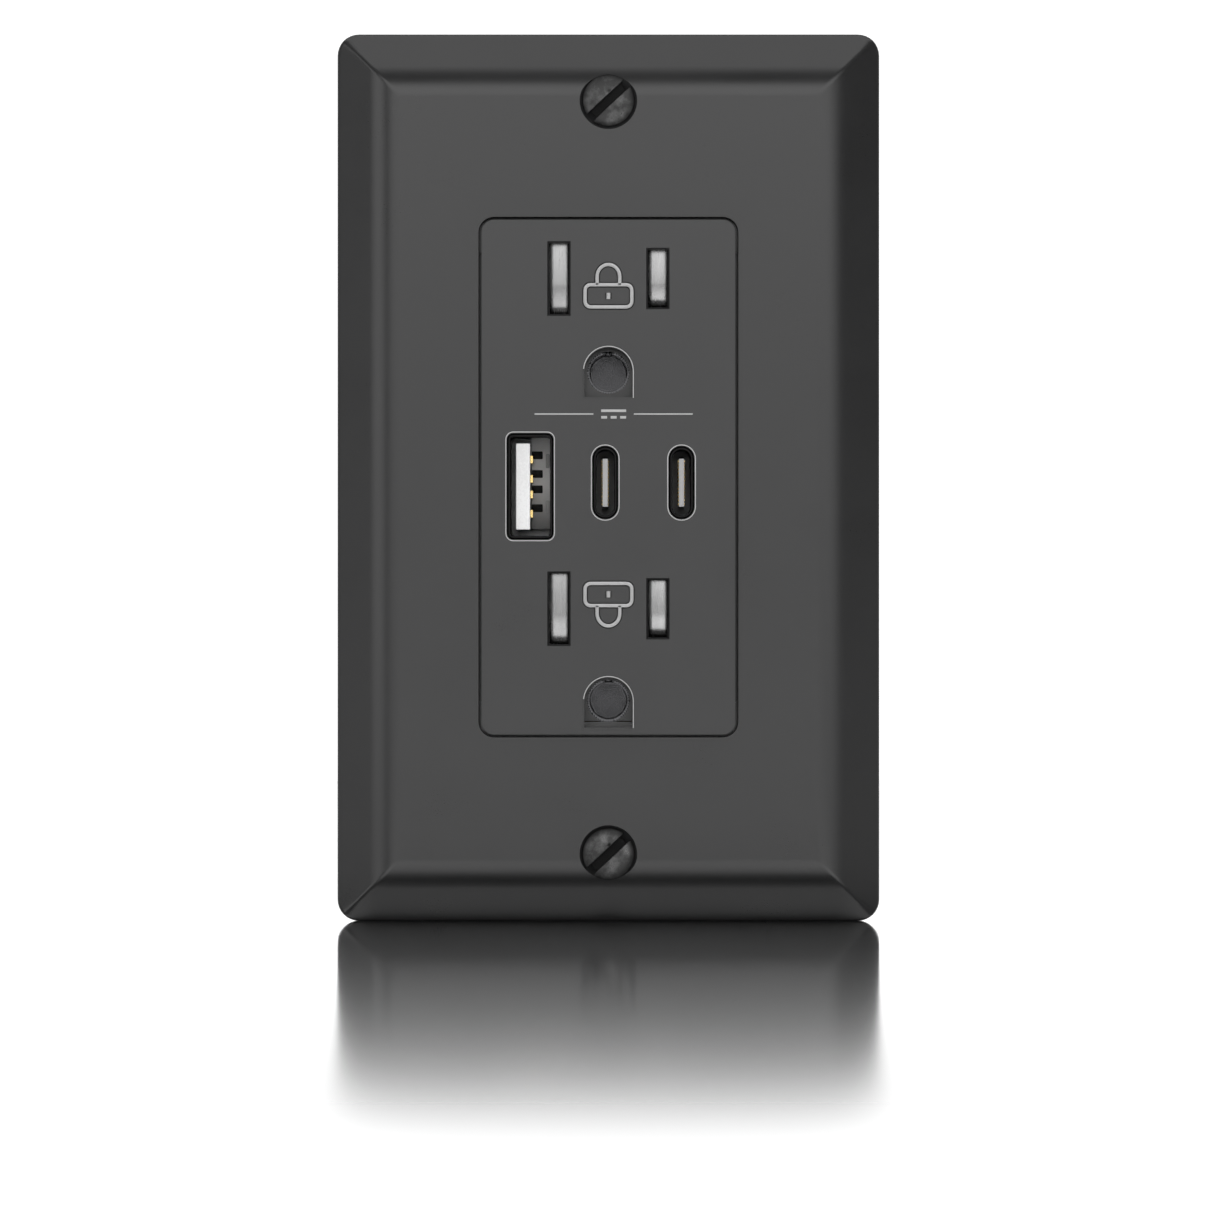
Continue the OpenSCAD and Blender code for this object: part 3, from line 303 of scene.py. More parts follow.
def groundBrass(pinHeights, reach):
    # Brass strip whose tubes are dark inside with painted shade, where the distance from a pin's
    # line is less than the reach
    paint = Paint("groundBrass", metallic=1.0)
    x, z = paint.axis("X"), paint.axis("Z")
    upper, lower = [(x * x + (z - height) * (z - height)).power(0.5) for height in pinHeights]
    outside = upper.least(lower).above(reach, reach + 0.15)
    patch = paint.noise(2.5, 4.0)
    fine = paint.noise(0.12, 3.0)
    # Painted shade: dark grey inside the tubes in place of the brass
    paintedTubeShade = paint.mix(patch, (0.05, 0.05, 0.052), (0.075, 0.075, 0.078))
    strip = paint.mix(patch, (0.7, 0.49, 0.17), (0.82, 0.58, 0.22))
    paint.set(Base_Color=paint.mix(outside, paintedTubeShade, strip))
    paint.set(Roughness=0.26 + (fine - 0.5) * 0.16)
    paint.bump(fine, 0.004)
    return paint.material


def shutterSilver():
    # Brushed metallised plate, its lines drawn up and down
    paint = Paint("shutterSilver", metallic=1.0)
    lines = paint.noise(0.1, 4.0, (1.0, 1.0, 0.04))
    wide = paint.noise(0.9, 2.0, (1.0, 1.0, 0.06))
    paint.set(Base_Color=paint.mix(wide, (0.2, 0.2, 0.2), (0.3, 0.3, 0.3)))
    paint.set(Roughness=0.24 + (lines - 0.5) * 0.25)
    paint.bump(lines + wide * 0.6, 0.01)
    return paint.material


def boardGreen():
    # Solder mask with traces under it: narrow stripes that turn with a coarse cell pattern
    paint = Paint("boardGreen", coat=0.4)
    cell = paint.node("ShaderNodeTexVoronoi", {"feature": "DISTANCE_TO_EDGE"},
                      {"Vector": paint.place(), "Scale": 260.0})
    trace = 1 - cell.above(0.05, 0.09)
    paint.set(Base_Color=paint.mix(trace, (0.006, 0.09, 0.03), (0.03, 0.2, 0.06)))
    paint.set(Roughness=0.3 + paint.noise(0.5, 3.0) * 0.15)
    paint.bump(trace, 0.02)
    return paint.material


finishes["screw_black"] = screwBlack()
finishes["ground_green"] = groundGreen()
finishes["shutter_silver"] = shutterSilver()
finishes["board_green"] = boardGreen()


def strapSteel(low, high, side, fade):
    # Zinc plated strip with painted shade where it crosses behind the lower ground hole: between the
    # heights low and high and no further to a side than side, with a fade round that
    paint = Paint("strapSteel", metallic=1.0)
    x, z = paint.axis("X"), paint.axis("Z")
    within = 1 - x.size().above(side, side + fade)
    shaded = within * z.above(low - fade, low) * (1 - z.above(high, high + fade))
    lines = paint.noise(0.12, 3.0, (1.0, 1.0, 0.08))
    patch = paint.noise(4.0, 4.0)
    plated = paint.mix(patch, (0.55, 0.57, 0.59), (0.66, 0.68, 0.7))
    # Painted shade: near black where the strip lies behind the ground hole
    paint.set(Base_Color=paint.mix(shaded, plated, (0.06, 0.06, 0.06)))
    paint.set(Roughness=0.32 + (lines - 0.5) * 0.16 + (patch - 0.5) * 0.1)
    paint.bump(lines, 0.004)
    return paint.material


# Heights of the two ground pins' lines, and finishes that belong to one node only
groundHoles = (13.6, -28.8)
ownFinish = {
    "mounting_strap": strapSteel(low=-34.0, high=-29.0, side=4.5, fade=0.4),
    "ground_bus": groundBrass(groundHoles, reach=2.95),
}
for node, thing in nodes.items():
    thing.data.materials.clear()
    thing.data.materials.append(ownFinish.get(node, finishes[slotOf[node]]))
print("finishes made:", len(finishes))


def smoothed(mesh, angle):
    # Smooth shading, with edges that turn by more than the angle in degrees kept sharp
    mesh.polygons.foreach_set("use_smooth", np.ones(len(mesh.polygons), bool))
    mesh.set_sharp_from_angle(angle=math.radians(angle))


def meshPiece(name, points, faces, body, slot, angle=30.0, weld=1e-7, finish=None):
    # A piece from points in millimetres and faces as index lists; doubles are merged
    mesh = bpy.data.meshes.new(name)
    mesh.from_pydata((np.asarray(points, float) * mm).tolist(), [], faces)
    build = bmesh.new()
    build.from_mesh(mesh)
    bmesh.ops.remove_doubles(build, verts=build.verts, dist=weld)
    bmesh.ops.dissolve_degenerate(build, edges=build.edges, dist=weld)
    bmesh.ops.recalc_face_normals(build, faces=build.faces)
    build.to_mesh(mesh)
    build.free()
    smoothed(mesh, angle)
    mesh.materials.append(finish or finishes[slot])
    piece = bpy.data.objects.new(name, mesh)
    scene.collection.objects.link(piece)
    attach(piece, body)
    return piece


def gridFaces(rows, columns, start=0, wrap=True):
    # Quads of a grid of points in row order; a wrapped grid joins its last column to its first
    r, c = np.meshgrid(np.arange(rows - 1), np.arange(columns if wrap else columns - 1), indexing="ij")
    a = r * columns + c
    b = r * columns + (c + 1) % columns
    quads = np.stack([a, b, b + columns, a + columns], axis=-1).reshape(-1, 4) + start
    return quads.tolist()


def roundBevel(piece, width, angle=35.0, segments=2):
    # Rounds the edges that turn by more than the angle in degrees
    edge = piece.modifiers.new("edgeRound", "BEVEL")
    edge.width = width * mm
    edge.segments = segments
    edge.limit_method = "ANGLE"
    edge.angle_limit = math.radians(angle)
    edge.use_clamp_overlap = False
    edge.harden_normals = False
    edge.miter_outer = "MITER_ARC"
    return piece


def weightNormals(piece):
    # Shades by the area of the faces, so that wide faces stay flat beside their rounded edges
    weigh = piece.modifiers.new("evenShading", "WEIGHTED_NORMAL")
    weigh.keep_sharp = True
    weigh.weight = 80
    return piece


def applied(piece):
    # The piece's mesh with its modifiers worked in
    bpy.context.view_layer.update()
    shown = piece.evaluated_get(bpy.context.evaluated_depsgraph_get())
    mesh = bpy.data.meshes.new_from_object(shown)
    old = piece.data
    piece.modifiers.clear()
    piece.data = mesh
    bpy.data.meshes.remove(old)
    return piece


# Edge rounds in millimetres for each node; the rest take the usual one, and 0 keeps sharp edges
usualRound = 0.1
edgeRounds = {
    "front_cover": 0.0, "mounting_strap": 0.0, "rear_housing": 0.0, "main_board": 0.05,
    "usb_a_shell": 0.07, "usb_c_left_shell": 0.07, "usb_c_right_shell": 0.07,
    "usb_a_tongue": 0.12, "usb_c_left_tongue": 0.08, "usb_c_right_tongue": 0.08,
    "usb_a_contacts": 0.03, "usb_c_left_contacts": 0.03, "usb_c_right_contacts": 0.03,
    "port_board": 0.05, "insulation_barrier": 0.08, "link_header": 0.05,
    "bridge_rectifier": 0.06, "controller_chips": 0.05, "supply_lead_hot": 0.05,
    "supply_lead_neutral": 0.05, "hot_bus": 0.08, "neutral_bus": 0.08, "ground_bus": 0.05,
    "shutter_upper": 0.08, "shutter_lower": 0.08, "shutter_tray_upper": 0.05,
    "shutter_tray_lower": 0.05, "contact_carrier": 0.0, "transformer_winding": 0.05,
}


def refined(node, width=None, drop=None):
    # A copy of the node's mesh, welded, with flat areas made whole and its edges rounded; drop
    # says from their corners which faces to take away, and the hole is closed with a cap
    mesh = nodes[node].data.copy()
    build = bmesh.new()
    build.from_mesh(mesh)
    bmesh.ops.remove_doubles(build, verts=build.verts, dist=2e-6)
    if drop is not None:
        corners = np.array([[v.co[:] for v in f.verts] for f in build.faces]) / mm
        gone = [f for f, out in zip(list(build.faces), drop(corners)) if out]
        bmesh.ops.delete(build, geom=gone, context="FACES")
        bmesh.ops.holes_fill(build, edges=[e for e in build.edges if e.is_boundary], sides=0)
    bmesh.ops.dissolve_limit(build, angle_limit=math.radians(0.6), verts=build.verts,
                             edges=build.edges, delimit={"NORMAL"})
    bmesh.ops.triangulate(build, faces=[f for f in build.faces if len(f.verts) > 4])
    build.to_mesh(mesh)
    build.free()
    smoothed(mesh, 32)
    mesh.materials.clear()
    mesh.materials.append(ownFinish.get(node, finishes[slotOf[node]]))
    piece = bpy.data.objects.new(node + "_finished", mesh)
    scene.collection.objects.link(piece)
    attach(piece, bodyOf[node])
    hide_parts(node)
    width = width or edgeRounds.get(node, usualRound)
    if width:
        weightNormals(roundBevel(piece, width))
    else:
        facing = np.empty(len(mesh.polygons) * 3, np.float32)
        mesh.polygons.foreach_get("normal", facing)
        curved = np.abs(facing.reshape(-1, 3)).max(axis=1) < 0.9999
        mesh.polygons.foreach_set("use_smooth", curved)
    return piece


plate = {
    "width": 69.85, "height": 114.3, "proud": 6.0, "edge": 2.2, "bevel": 4.2, "blend": 4.0,
    "corner": 2.8, "leastCorner": 0.5, "side": 2.2, "wall": 2.0, "mitreRound": 0.45,
    "edgeRound": 0.22, "backEase": 0.12, "openWidth": 33.27, "openHeight": 66.8,
    "openCorner": 1.95, "openEase": 0.12, "openEaseMiddle": 0.035, "seatZ": 48.42,
    "seatRadius": 3.70, "seatAngle": 41, "seatOver": 0.08, "holeRadius": 2.0026,
    "holeBack": -1.0, "bossRadius": 3.0026, "bossBack": -2.6, "bossFront": -4.6,
    "cutFront": -7.5, "turnedSteps": 72, "sideSteps": 24, "cornerSteps": 8,
}


def outline(halfWidth, halfHeight, radius, p):
    # Closed loop round a rectangle with round corners: straight runs shared out evenly, and
    # quarter turns of a set number of steps
    x, z = halfWidth - radius, halfHeight - radius
    along = np.linspace(-1, 1, p["sideSteps"] + 1)
    turn = np.linspace(0, math.pi / 2, p["cornerSteps"] + 1)[1:-1]
    parts = [np.stack([along * x, np.full_like(along, halfHeight)], 1)]
    parts += [np.stack([x + radius * np.sin(turn), z + radius * np.cos(turn)], 1)]
    parts += [np.stack([np.full_like(along, halfWidth), -along * z], 1)]
    parts += [np.stack([x + radius * np.cos(turn), -z - radius * np.sin(turn)], 1)]
    half = np.concatenate(parts)
    return np.concatenate([half, -half])


def plateLoop(inset, p):
    # The plate's outline moved in by the inset
    return outline(p["width"] / 2 - inset, p["height"] / 2 - inset,
                   max(p["corner"] - inset, p["leastCorner"]), p)


def lifted(loop, y):
    # A loop of x and z set at a depth along Y, one for all points or one for each
    return np.stack([loop[:, 0], np.broadcast_to(y, len(loop)), loop[:, 1]], 1)


def plateRise(points, p):
    # Height of the plate's front: the edge height, a straight bevel, then a parabola into the
    # flat field, by the distance in from the nearer side, rounded where two sides meet
    dx = p["width"] / 2 - np.abs(points[:, 0])
    dz = p["height"] / 2 - np.abs(points[:, 1])
    k = p["mitreRound"]
    s = np.minimum(dx, dz) - np.maximum(k - np.abs(dx - dz), 0) ** 2 / (4 * k)
    slope = (p["proud"] - p["edge"]) / (p["bevel"] + p["blend"] / 2)
    s = np.minimum(s, p["bevel"] + p["blend"])
    return p["edge"] + slope * s - slope * np.maximum(s - p["bevel"], 0) ** 2 / (2 * p["blend"])


def plateRings(p):
    # The plate's section carried round its outline: blend, bevel, edge round, rim, back edge, and
    # the hollow inside, which is the front's own form moved back by the wall
    inner = p["bevel"] + p["blend"]
    quarter = np.linspace(0, math.pi / 2, 5)
    front = [*np.linspace(inner, p["bevel"], 19), *np.linspace(p["bevel"], 0.9, 8)[1:], 0.6, 0.4]
    insets = [*front, *(p["edgeRound"] * (1 - np.sin(quarter)))]
    drops = [*([0.0] * len(front)), *(p["edgeRound"] * (1 - np.cos(quarter)))]
    rings = []
    for inset, drop in zip(insets, drops):
        loop = plateLoop(inset, p)
        rings.append(lifted(loop, drop - plateRise(loop, p)))
    for inset, y in ((0.0, -p["backEase"]), (p["backEase"], 0.0), (p["side"], 0.0)):
        rings.append(lifted(plateLoop(inset, p), y))
    for inset in (*np.linspace(p["side"], p["bevel"], 4), *np.linspace(p["bevel"], inner, 9)[1:]):
        loop = plateLoop(inset, p)
        rings.append(lifted(loop, p["wall"] - plateRise(loop, p)))
    return rings


def openingWalls(p):
    # The opening's wall from front to back: each row's depth and how far its eased edge spreads
    rows = ((0.0, p["openEase"]), (p["openEaseMiddle"], p["openEaseMiddle"]), (p["openEase"], 0.0),
            (p["wall"], 0.0))
    return [lifted(outline(p["openWidth"] / 2 + spread, p["openHeight"] / 2 + spread,
                           p["openCorner"] + spread, p), depth - p["proud"])
            for depth, spread in rows]


def turnedPair(name, profile, p):
    # Two closed solids turned about the plate screws' lines, from pairs of radius and depth
    steps = p["turnedSteps"]
    turn = np.linspace(0, 2 * math.pi, steps, endpoint=False)
    points, sides = [], []
    for centre in (p["seatZ"], -p["seatZ"]):
        start = len(points) * len(profile) * steps
        last = start + (len(profile) - 1) * steps
        points.append(np.concatenate([
            np.stack([radius * np.cos(turn), np.full(steps, y), centre + radius * np.sin(turn)], 1)
            for radius, y in profile]))
        sides += gridFaces(len(profile), steps, start)
        sides += [list(range(start, start + steps)), list(range(last, last + steps))]
    mesh = bpy.data.meshes.new(name)
    mesh.from_pydata((np.concatenate(points) * mm).tolist(), [], sides)
    build = bmesh.new()
    build.from_mesh(mesh)
    bmesh.ops.recalc_face_normals(build, faces=build.faces)
    build.to_mesh(mesh)
    build.free()
    mesh.materials.append(finishes["plate_black"])
    made = bpy.data.objects.new(name, mesh)
    scene.collection.objects.link(made)
    return made


def cutPlate(piece, p):
    # Adds the two bosses behind the plate, then cuts the screws' holes and conical seats
    front = -p["proud"]
    depth = (p["seatRadius"] - p["holeRadius"]) / math.tan(math.radians(p["seatAngle"]))
    wide = p["seatRadius"] + p["seatOver"]
    boss = turnedPair("bosses", [(p["bossRadius"], p["bossBack"]),
                                 (p["bossRadius"], p["bossFront"])], p)
    seat = turnedPair("seats", [(p["holeRadius"], p["holeBack"]), (p["holeRadius"], front + depth),
                                (p["seatRadius"], front), (wide, front - 0.07),
                                (wide, p["cutFront"])], p)
    for cutter, operation in ((boss, "UNION"), (seat, "DIFFERENCE")):
        cut = piece.modifiers.new("cut", "BOOLEAN")
        cut.operation = operation
        cut.object = cutter
        cut.solver = "EXACT"
    applied(piece)
    for cutter in (boss, seat):
        mesh = cutter.data
        bpy.data.objects.remove(cutter)
        bpy.data.meshes.remove(mesh)


def wallPlate(p):
    # The section's rings and the opening's walls, joined by flat parts with as many points on
    # both sides, then cut for the screws and cleaned
    rings, walls = plateRings(p), openingWalls(p)
    size = len(rings[0])
    count = size * len(rings)
    faces = gridFaces(len(rings), size) + gridFaces(len(walls), size, count)
    i = np.arange(size)
    j = (i + 1) % size
    for outer, inner in ((0, count), (count - size, count + size * (len(walls) - 1))):
        faces += np.stack([outer + i, outer + j, inner + j, inner + i], 1).tolist()
    piece = meshPiece("wall_plate_shell", np.concatenate(rings + walls), faces, "wall_plate",
                      "plate_black", angle=40)
    cutPlate(piece, p)
    build = bmesh.new()
    build.from_mesh(piece.data)
    bmesh.ops.remove_doubles(build, verts=build.verts, dist=4e-6)
    bmesh.ops.dissolve_degenerate(build, edges=build.edges, dist=4e-6)
    build.to_mesh(piece.data)
    build.free()
    smoothed(piece.data, 35)
    weightNormals(piece)
    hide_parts("wall_plate")


wallPlate(plate)
print("wall plate made")


threads = {"pitch": 0.7938, "depth": 0.42, "rows": 10, "around": 36, "flank": 1.25, "root": 0.1,
           "fadeIn": 0.6, "fadeOut": 1.2, "tip": 0.4}


def threadBody(name, body, slot, origin, axis, s, t):
    # A threaded rod: the radius falls from crest to root with the phase of a helix, which is
    # the distance along the rod over the pitch less the turn, and fades out at both ends
    start, end = s["from"], s["to"]
    steps = int(round((end - start) / t["pitch"] * t["rows"]))
    along = np.linspace(start, end, steps + 1)[:, None]
    turn = np.linspace(0, 2 * math.pi, t["around"], endpoint=False)[None, :]
    phase = np.mod(along / t["pitch"] - turn / (2 * math.pi), 1.0)
    wave = np.clip(t["flank"] * np.abs(2 * phase - 1) - t["root"], 0, 1)
    fade = (np.clip((end - along) / (t["fadeOut"] * t["pitch"]), 0, 1)
            * np.clip((along - start) / (t["fadeIn"] * t["pitch"]), 0, 1))
    r = s["radius"] - t["depth"] * (1 - (1 - wave) * fade)
    cone = s["radius"] - t["depth"] - t["tip"] + (end - along)
    r = np.where((end - along) < t["tip"], np.minimum(r, cone), r)
    across = np.array([0, 0, 1.0])
    side = np.cross(axis, across)
    base, line = np.asarray(origin, float), np.asarray(axis, float)
    points = (base + along[..., None] * line + (r * np.cos(turn))[..., None] * across
              + (r * np.sin(turn))[..., None] * side).reshape(-1, 3)
    faces = gridFaces(steps + 1, t["around"])
    caps = np.stack([base + start * line, base + end * line])
    i = np.arange(t["around"])
    j = (i + 1) % t["around"]
    last = steps * t["around"]
    faces += np.stack([np.full(t["around"], len(points)), j, i], 1).tolist()
    faces += np.stack([np.full(t["around"], len(points) + 1), last + i, last + j], 1).tolist()
    return meshPiece(name, np.concatenate([points, caps]), faces, body, slot, angle=50)


def shankOf(origin, axis, s):
    # Marks a screw's shank faces: every corner within the shank's radius and behind the head
    base, line = np.asarray(origin, float), np.asarray(axis, float)

    def marked(corners):
        rel = corners - base
        depth = rel @ line
        reach = np.linalg.norm(rel - depth[..., None] * line, axis=-1)
        return np.all((reach < s["radius"] * 1.03) & (depth > s["headBack"]), axis=1)

    return marked


# Distances along each screw from its origin: the back of its head, and where its thread runs
screws = {
    "headRound": 0.09,
    "plate": {"z": plate["seatZ"], "radius": 1.7526, "headBack": -3.9, "from": -4.4, "to": 6.55},
    "box": {"z": 41.67, "radius": 1.7526, "headBack": -1.36, "from": -1.6, "to": 24.05},
    "terminal": {"x": 19.785, "y": 7.7, "z": 13.0, "radius": 2.08, "headBack": -0.01,
                 "from": -0.2, "to": 4.5},
    "ground": {"x": -14.6, "y": 6.0, "z": -40.0, "radius": 2.08, "headBack": -0.01,
               "from": -0.2, "to": 7.6},
}
ownShape = {"wall_plate"}


def threadedScrew(node, origin, axis, s):
    # The screw's own head, and a threaded body in place of its plain shank
    refined(node, screws["headRound"], shankOf(origin, axis, s))
    threadBody(node + "_thread", bodyOf[node], slotOf[node], origin, axis, s, threads)
    ownShape.add(node)


def allScrews(s):
    # Plate and box screws run back along Y, terminal screws inwards along X
    for end, sign in (("top", 1), ("bottom", -1)):
        for kind in ("plate", "box"):
            threadedScrew(f"{kind}_screw_{end}", (0, 0, sign * s[kind]["z"]), (0, 1, 0), s[kind])
    held = s["terminal"]
    for side, sign in (("hot", 1), ("neutral", -1)):
        for level, up in (("upper", 1), ("lower", -1)):
            threadedScrew(f"terminal_screw_{side}_{level}",
                          (sign * held["x"], held["y"], up * held["z"]), (-sign, 0, 0), held)
    ground = s["ground"]
    threadedScrew("ground_screw", (ground["x"], ground["y"], ground["z"]), (1, 0, 0), ground)


allScrews(screws)
print("screws made")

shutterLevels = {"upper": 25.5, "lower": -16.9}
spring = {"from": 8.80, "to": 13.93, "radius": 1.125, "wire": 0.175, "turns": 6.5, "y": -2.95,
          "stepsPerTurn": 28, "wireSides": 10, "closed": 0.09, "open": 0.82, "creep": 0.05,
          "anchor": 13.985, "keep": 0.36}


def coil(name, body, slot, s, z):
    # A round wire carried along a helix about an axis along X: the turn grows with the distance
    # along, slowly at both ends where the coil is closed
    t = np.linspace(0, 1, int(s["turns"] * s["stepsPerTurn"]) + 1)
    turn = 2 * math.pi * s["turns"] * t
    smooth = np.clip((t - s["closed"]) / s["open"], 0, 1)
    span = s["to"] - s["from"] - 2 * s["wire"]
    x = s["from"] + s["wire"] + span * (s["creep"] * t + (1 - s["creep"]) * smooth)
    ring = np.linspace(0, 2 * math.pi, s["wireSides"], endpoint=False)
    reach = s["radius"] + s["wire"] * np.cos(ring)[None, :]
    points = np.stack([
        x[:, None] + s["wire"] * np.sin(ring)[None, :],
        s["y"] + reach * np.cos(turn)[:, None],
        z + reach * np.sin(turn)[:, None],
    ], axis=-1).reshape(-1, 3)
    faces = gridFaces(len(t), len(ring))
    last = (len(t) - 1) * len(ring)
    faces += [list(range(len(ring))), list(range(last, last + len(ring)))]
    return meshPiece(name, points, faces, body, slot, angle=60)


for level, z in shutterLevels.items():
    node = f"shutter_spring_{level}"
    wire = coil(node + "_coil", bodyOf[node], "spring_steel", spring, z)
    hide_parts(node)
    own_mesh(wire)
    ownShape.add(node)
print("springs made")

for node in nodes:
    if node not in ownShape:
        refined(node)
print("other nodes refined")

padSizes = {
    "x": {"hot": 6.35, "neutral": -6.35}, "high": {"hot": 7.4, "neutral": 9.1},
    "left": -1.2, "right": 1.12, "top": 0.05, "bottom": 0.1, "front": -4.76, "back": -3.3,
    "lean": 0.16, "bulge": 0.1, "tuck": 0.7, "tuckFrom": 0.15, "rim": 0.08, "rimDrop": 0.07,
    "columns": 9, "rows": 33,
}


def shutterPad(name, body, p, x, z, high):
    # A bowed plate on the shutter's ramp: its front falls back to the left by the lean, to both
    # ends by the bulge times the square of the height, and more at the foot by the tuck
    across, up = np.meshgrid(np.linspace(0, 1, p["columns"]), np.linspace(-1, 1, p["rows"]))
    foot = np.maximum(-up - p["tuckFrom"], 0)
    y = p["front"] + p["lean"] * (1 - across) + p["bulge"] * up ** 2 + p["tuck"] * foot ** 2
    rim = np.minimum(np.minimum(across, 1 - across) / p["rim"], 1)
    y = y + p["rimDrop"] * (1 - rim) ** 2
    half = high / 2
    px = x + p["left"] + (p["right"] - p["left"]) * across
    pz = z + up * half - np.where(up > 0, p["top"], -p["bottom"]) * np.abs(up)
    front = np.stack([px, y, pz], -1).reshape(-1, 3)
    back = front.copy()
    back[:, 1] = p["back"]
    rows, columns = px.shape
    faces = gridFaces(rows, columns, 0, False) + gridFaces(rows, columns, len(front), False)
    grid = np.arange(rows * columns).reshape(rows, columns)
    loop = np.concatenate([grid[0, :-1], grid[:-1, -1], grid[-1, :0:-1], grid[:0:-1, 0]])
    after = np.roll(loop, -1)
    shift = len(front)
    faces += np.stack([loop, after, after + shift, loop + shift], 1).tolist()
    return meshPiece(name, np.concatenate([front, back]), faces, body, "shutter_silver", angle=50)


for level, z in shutterLevels.items():
    for side, x in padSizes["x"].items():
        shutterPad(f"shutter_pad_{side}_{level}", f"shutter_{level}", padSizes, x, z,
                   padSizes["high"][side])
print("shutter pads made")


marks = {
    "face": -6.6, "rise": 0.3, "width": 0.5, "upper": 24.6, "lower": -16.4, "caseHalf": 3.0,
    "caseLow": -2.75, "caseHigh": 0.1, "caseCorner": 0.7, "bowHalf": 1.45, "bowHigh": 1.55,
    "bowFrom": 1.15, "keyHigh": -0.95, "keyLow": -1.75, "keyWidth": 0.55,
}


def markFinish(m):
    # Raised marks: foil on the tops, bare dark plastic on the flanks
    paint = Paint("markFoil")
    crest = m["face"] - m["rise"]
    top = 1 - paint.axis("Y").above(crest + 0.02, crest + 0.07)
    patch = paint.noise(0.5, 3.0)
    paint.set(Base_Color=paint.mix(top, (0.004, 0.004, 0.004), (0.27, 0.27, 0.27)))
    paint.set(Metallic=top, Roughness=0.3 + patch * 0.12)
    paint.bump(patch, 0.004)
    return paint.material


def stroke(path, width, rise, face, closed):
    # A ridge along a path of x and z: a section with round shoulders is set square to the path at
    # each point, by the mean direction of the two runs that meet there
    path = np.asarray(path, float)
    ahead = np.roll(path, -1, 0) - path
    if not closed:
        ahead[-1] = ahead[-2]
    ahead /= np.linalg.norm(ahead, axis=1)[:, None]
    behind = np.roll(ahead, 1, 0)
    if not closed:
        behind[0] = ahead[0]
    mean = ahead + behind
    mean /= np.linalg.norm(mean, axis=1)[:, None]
    stretch = 1 / np.maximum(np.sum(mean * ahead, axis=1), 0.5)
    side = np.stack([mean[:, 1], -mean[:, 0]], 1) * stretch[:, None]
    w, h = width / 2, rise
    r = min(0.3 * w, 0.4 * h)
    foot = w + 0.5 * h
    section = np.array([[-foot, -0.3 * h], [-w, h - r], [-w + 0.3 * r, h - 0.3 * r], [-w + r, h],
                        [0, h], [w - r, h], [w - 0.3 * r, h - 0.3 * r], [w, h - r],
                        [foot, -0.3 * h]])
    n = len(section)
    x = path[:, 0, None] + side[:, 0, None] * section[None, :, 0]
    z = path[:, 1, None] + side[:, 1, None] * section[None, :, 0]
    y = np.broadcast_to(face - section[None, :, 1], x.shape)
    points = np.stack([x, y, z], -1).reshape(-1, 3)
    faces = gridFaces(len(path), n)
    if closed:
        i = np.arange(n)
        j = (i + 1) % n
        last = (len(path) - 1) * n
        faces += np.stack([last + i, last + j, j, i], 1).tolist()
    else:
        faces += [list(range(n)), list(range(len(points) - n, len(points)))]
    return points, faces


def strokes(name, body, slot, lines, finish=None):
    # Several ridges as one piece
    points, faces, start = [], [], 0
    for line in lines:
        some, those = stroke(*line)
        points.append(some)
        faces += [[k + start for k in face] for face in those]
        start += len(some)
    return meshPiece(name, np.concatenate(points), faces, body, slot, angle=40, finish=finish)


def roundBox(left, right, low, high, radius, steps=5):
    # Closed loop round a rectangle, with a quarter turn at each corner
    turn = np.linspace(0, math.pi / 2, steps)
    corners = []
    for cx, cz, start in ((right - radius, high - radius, 0), (left + radius, high - radius, 1),
                          (left + radius, low + radius, 2), (right - radius, low + radius, 3)):
        a = turn + start * math.pi / 2
        corners.append(np.stack([cx + radius * np.cos(a), cz + radius * np.sin(a)], 1))
    return np.concatenate(corners)


def lockMark(name, m, z, turned):
    # A padlock seen from the front: a round-cornered case, a keyhole and a bow above
    half, foot = m["bowHalf"], m["caseHigh"]
    turn = np.linspace(0, math.pi, 17)
    bow = np.stack([half * np.cos(turn), m["bowFrom"] + m["bowHigh"] * np.sin(turn)], 1)
    bow = np.concatenate([[[half, foot]], bow, [[-half, foot]]])
    case = roundBox(-m["caseHalf"], m["caseHalf"], m["caseLow"], m["caseHigh"], m["caseCorner"])
    key = np.array([[0, m["keyHigh"]], [0, m["keyLow"]]])
    lines = []
    for path, width, closed in ((case, m["width"], True), (bow, m["width"], False),
                                (key, m["keyWidth"], False)):
        path = path * (-1 if turned else 1)
        lines.append((path + np.array([0, z]), width, m["rise"], m["face"], closed))
    return strokes(name, bodyOf["front_cover"], "shutter_silver", lines, markFinish(m))


lockMark("lock_mark_upper", marks, marks["upper"], False)
lockMark("lock_mark_lower", marks, marks["lower"], True)

printed = {
    "x": 0.67, "z": 8.1, "half": 10.15, "gap": 2.6, "bar": 1.6, "lift": 0.42, "dash": 0.38,
    "dashes": (-1.22, 0.0, 1.22), "width": 0.17, "bold": 1.9, "rise": 0.015,
}


def printedLine(p):
    # Direct current symbol, a bar over three dashes, with a hairline on both sides
    runs = [(-p["half"], -p["gap"], 0.0), (p["gap"], p["half"], 0.0)]
    runs += [(-p["bar"], p["bar"], p["lift"])]
    runs += [(c - p["dash"], c + p["dash"], -p["lift"]) for c in p["dashes"]]
    lines = []
    for a, b, h in runs:
        path = [[p["x"] + x, p["z"] + h] for x in (a, (a + b) / 2, b)]
        width = p["width"] * (1.0 if h == 0 else p["bold"])
        lines.append((path, width, p["rise"], marks["face"], False))
    return strokes("printed_line", bodyOf["front_cover"], "port_grey", lines)


printedLine(printed)

highlightBeads = {
    "wide": (-10.05, -1.19, 3.12, 6.98, 0.95), "left": (-0.41, -0.70, 1.78, 4.83, 1.75),
    "right": (9.39, -0.70, 1.78, 4.83, 1.75), "archRadius": 3.2, "archFoot": 3.42,
    "width": 0.12, "rise": 0.02,
}


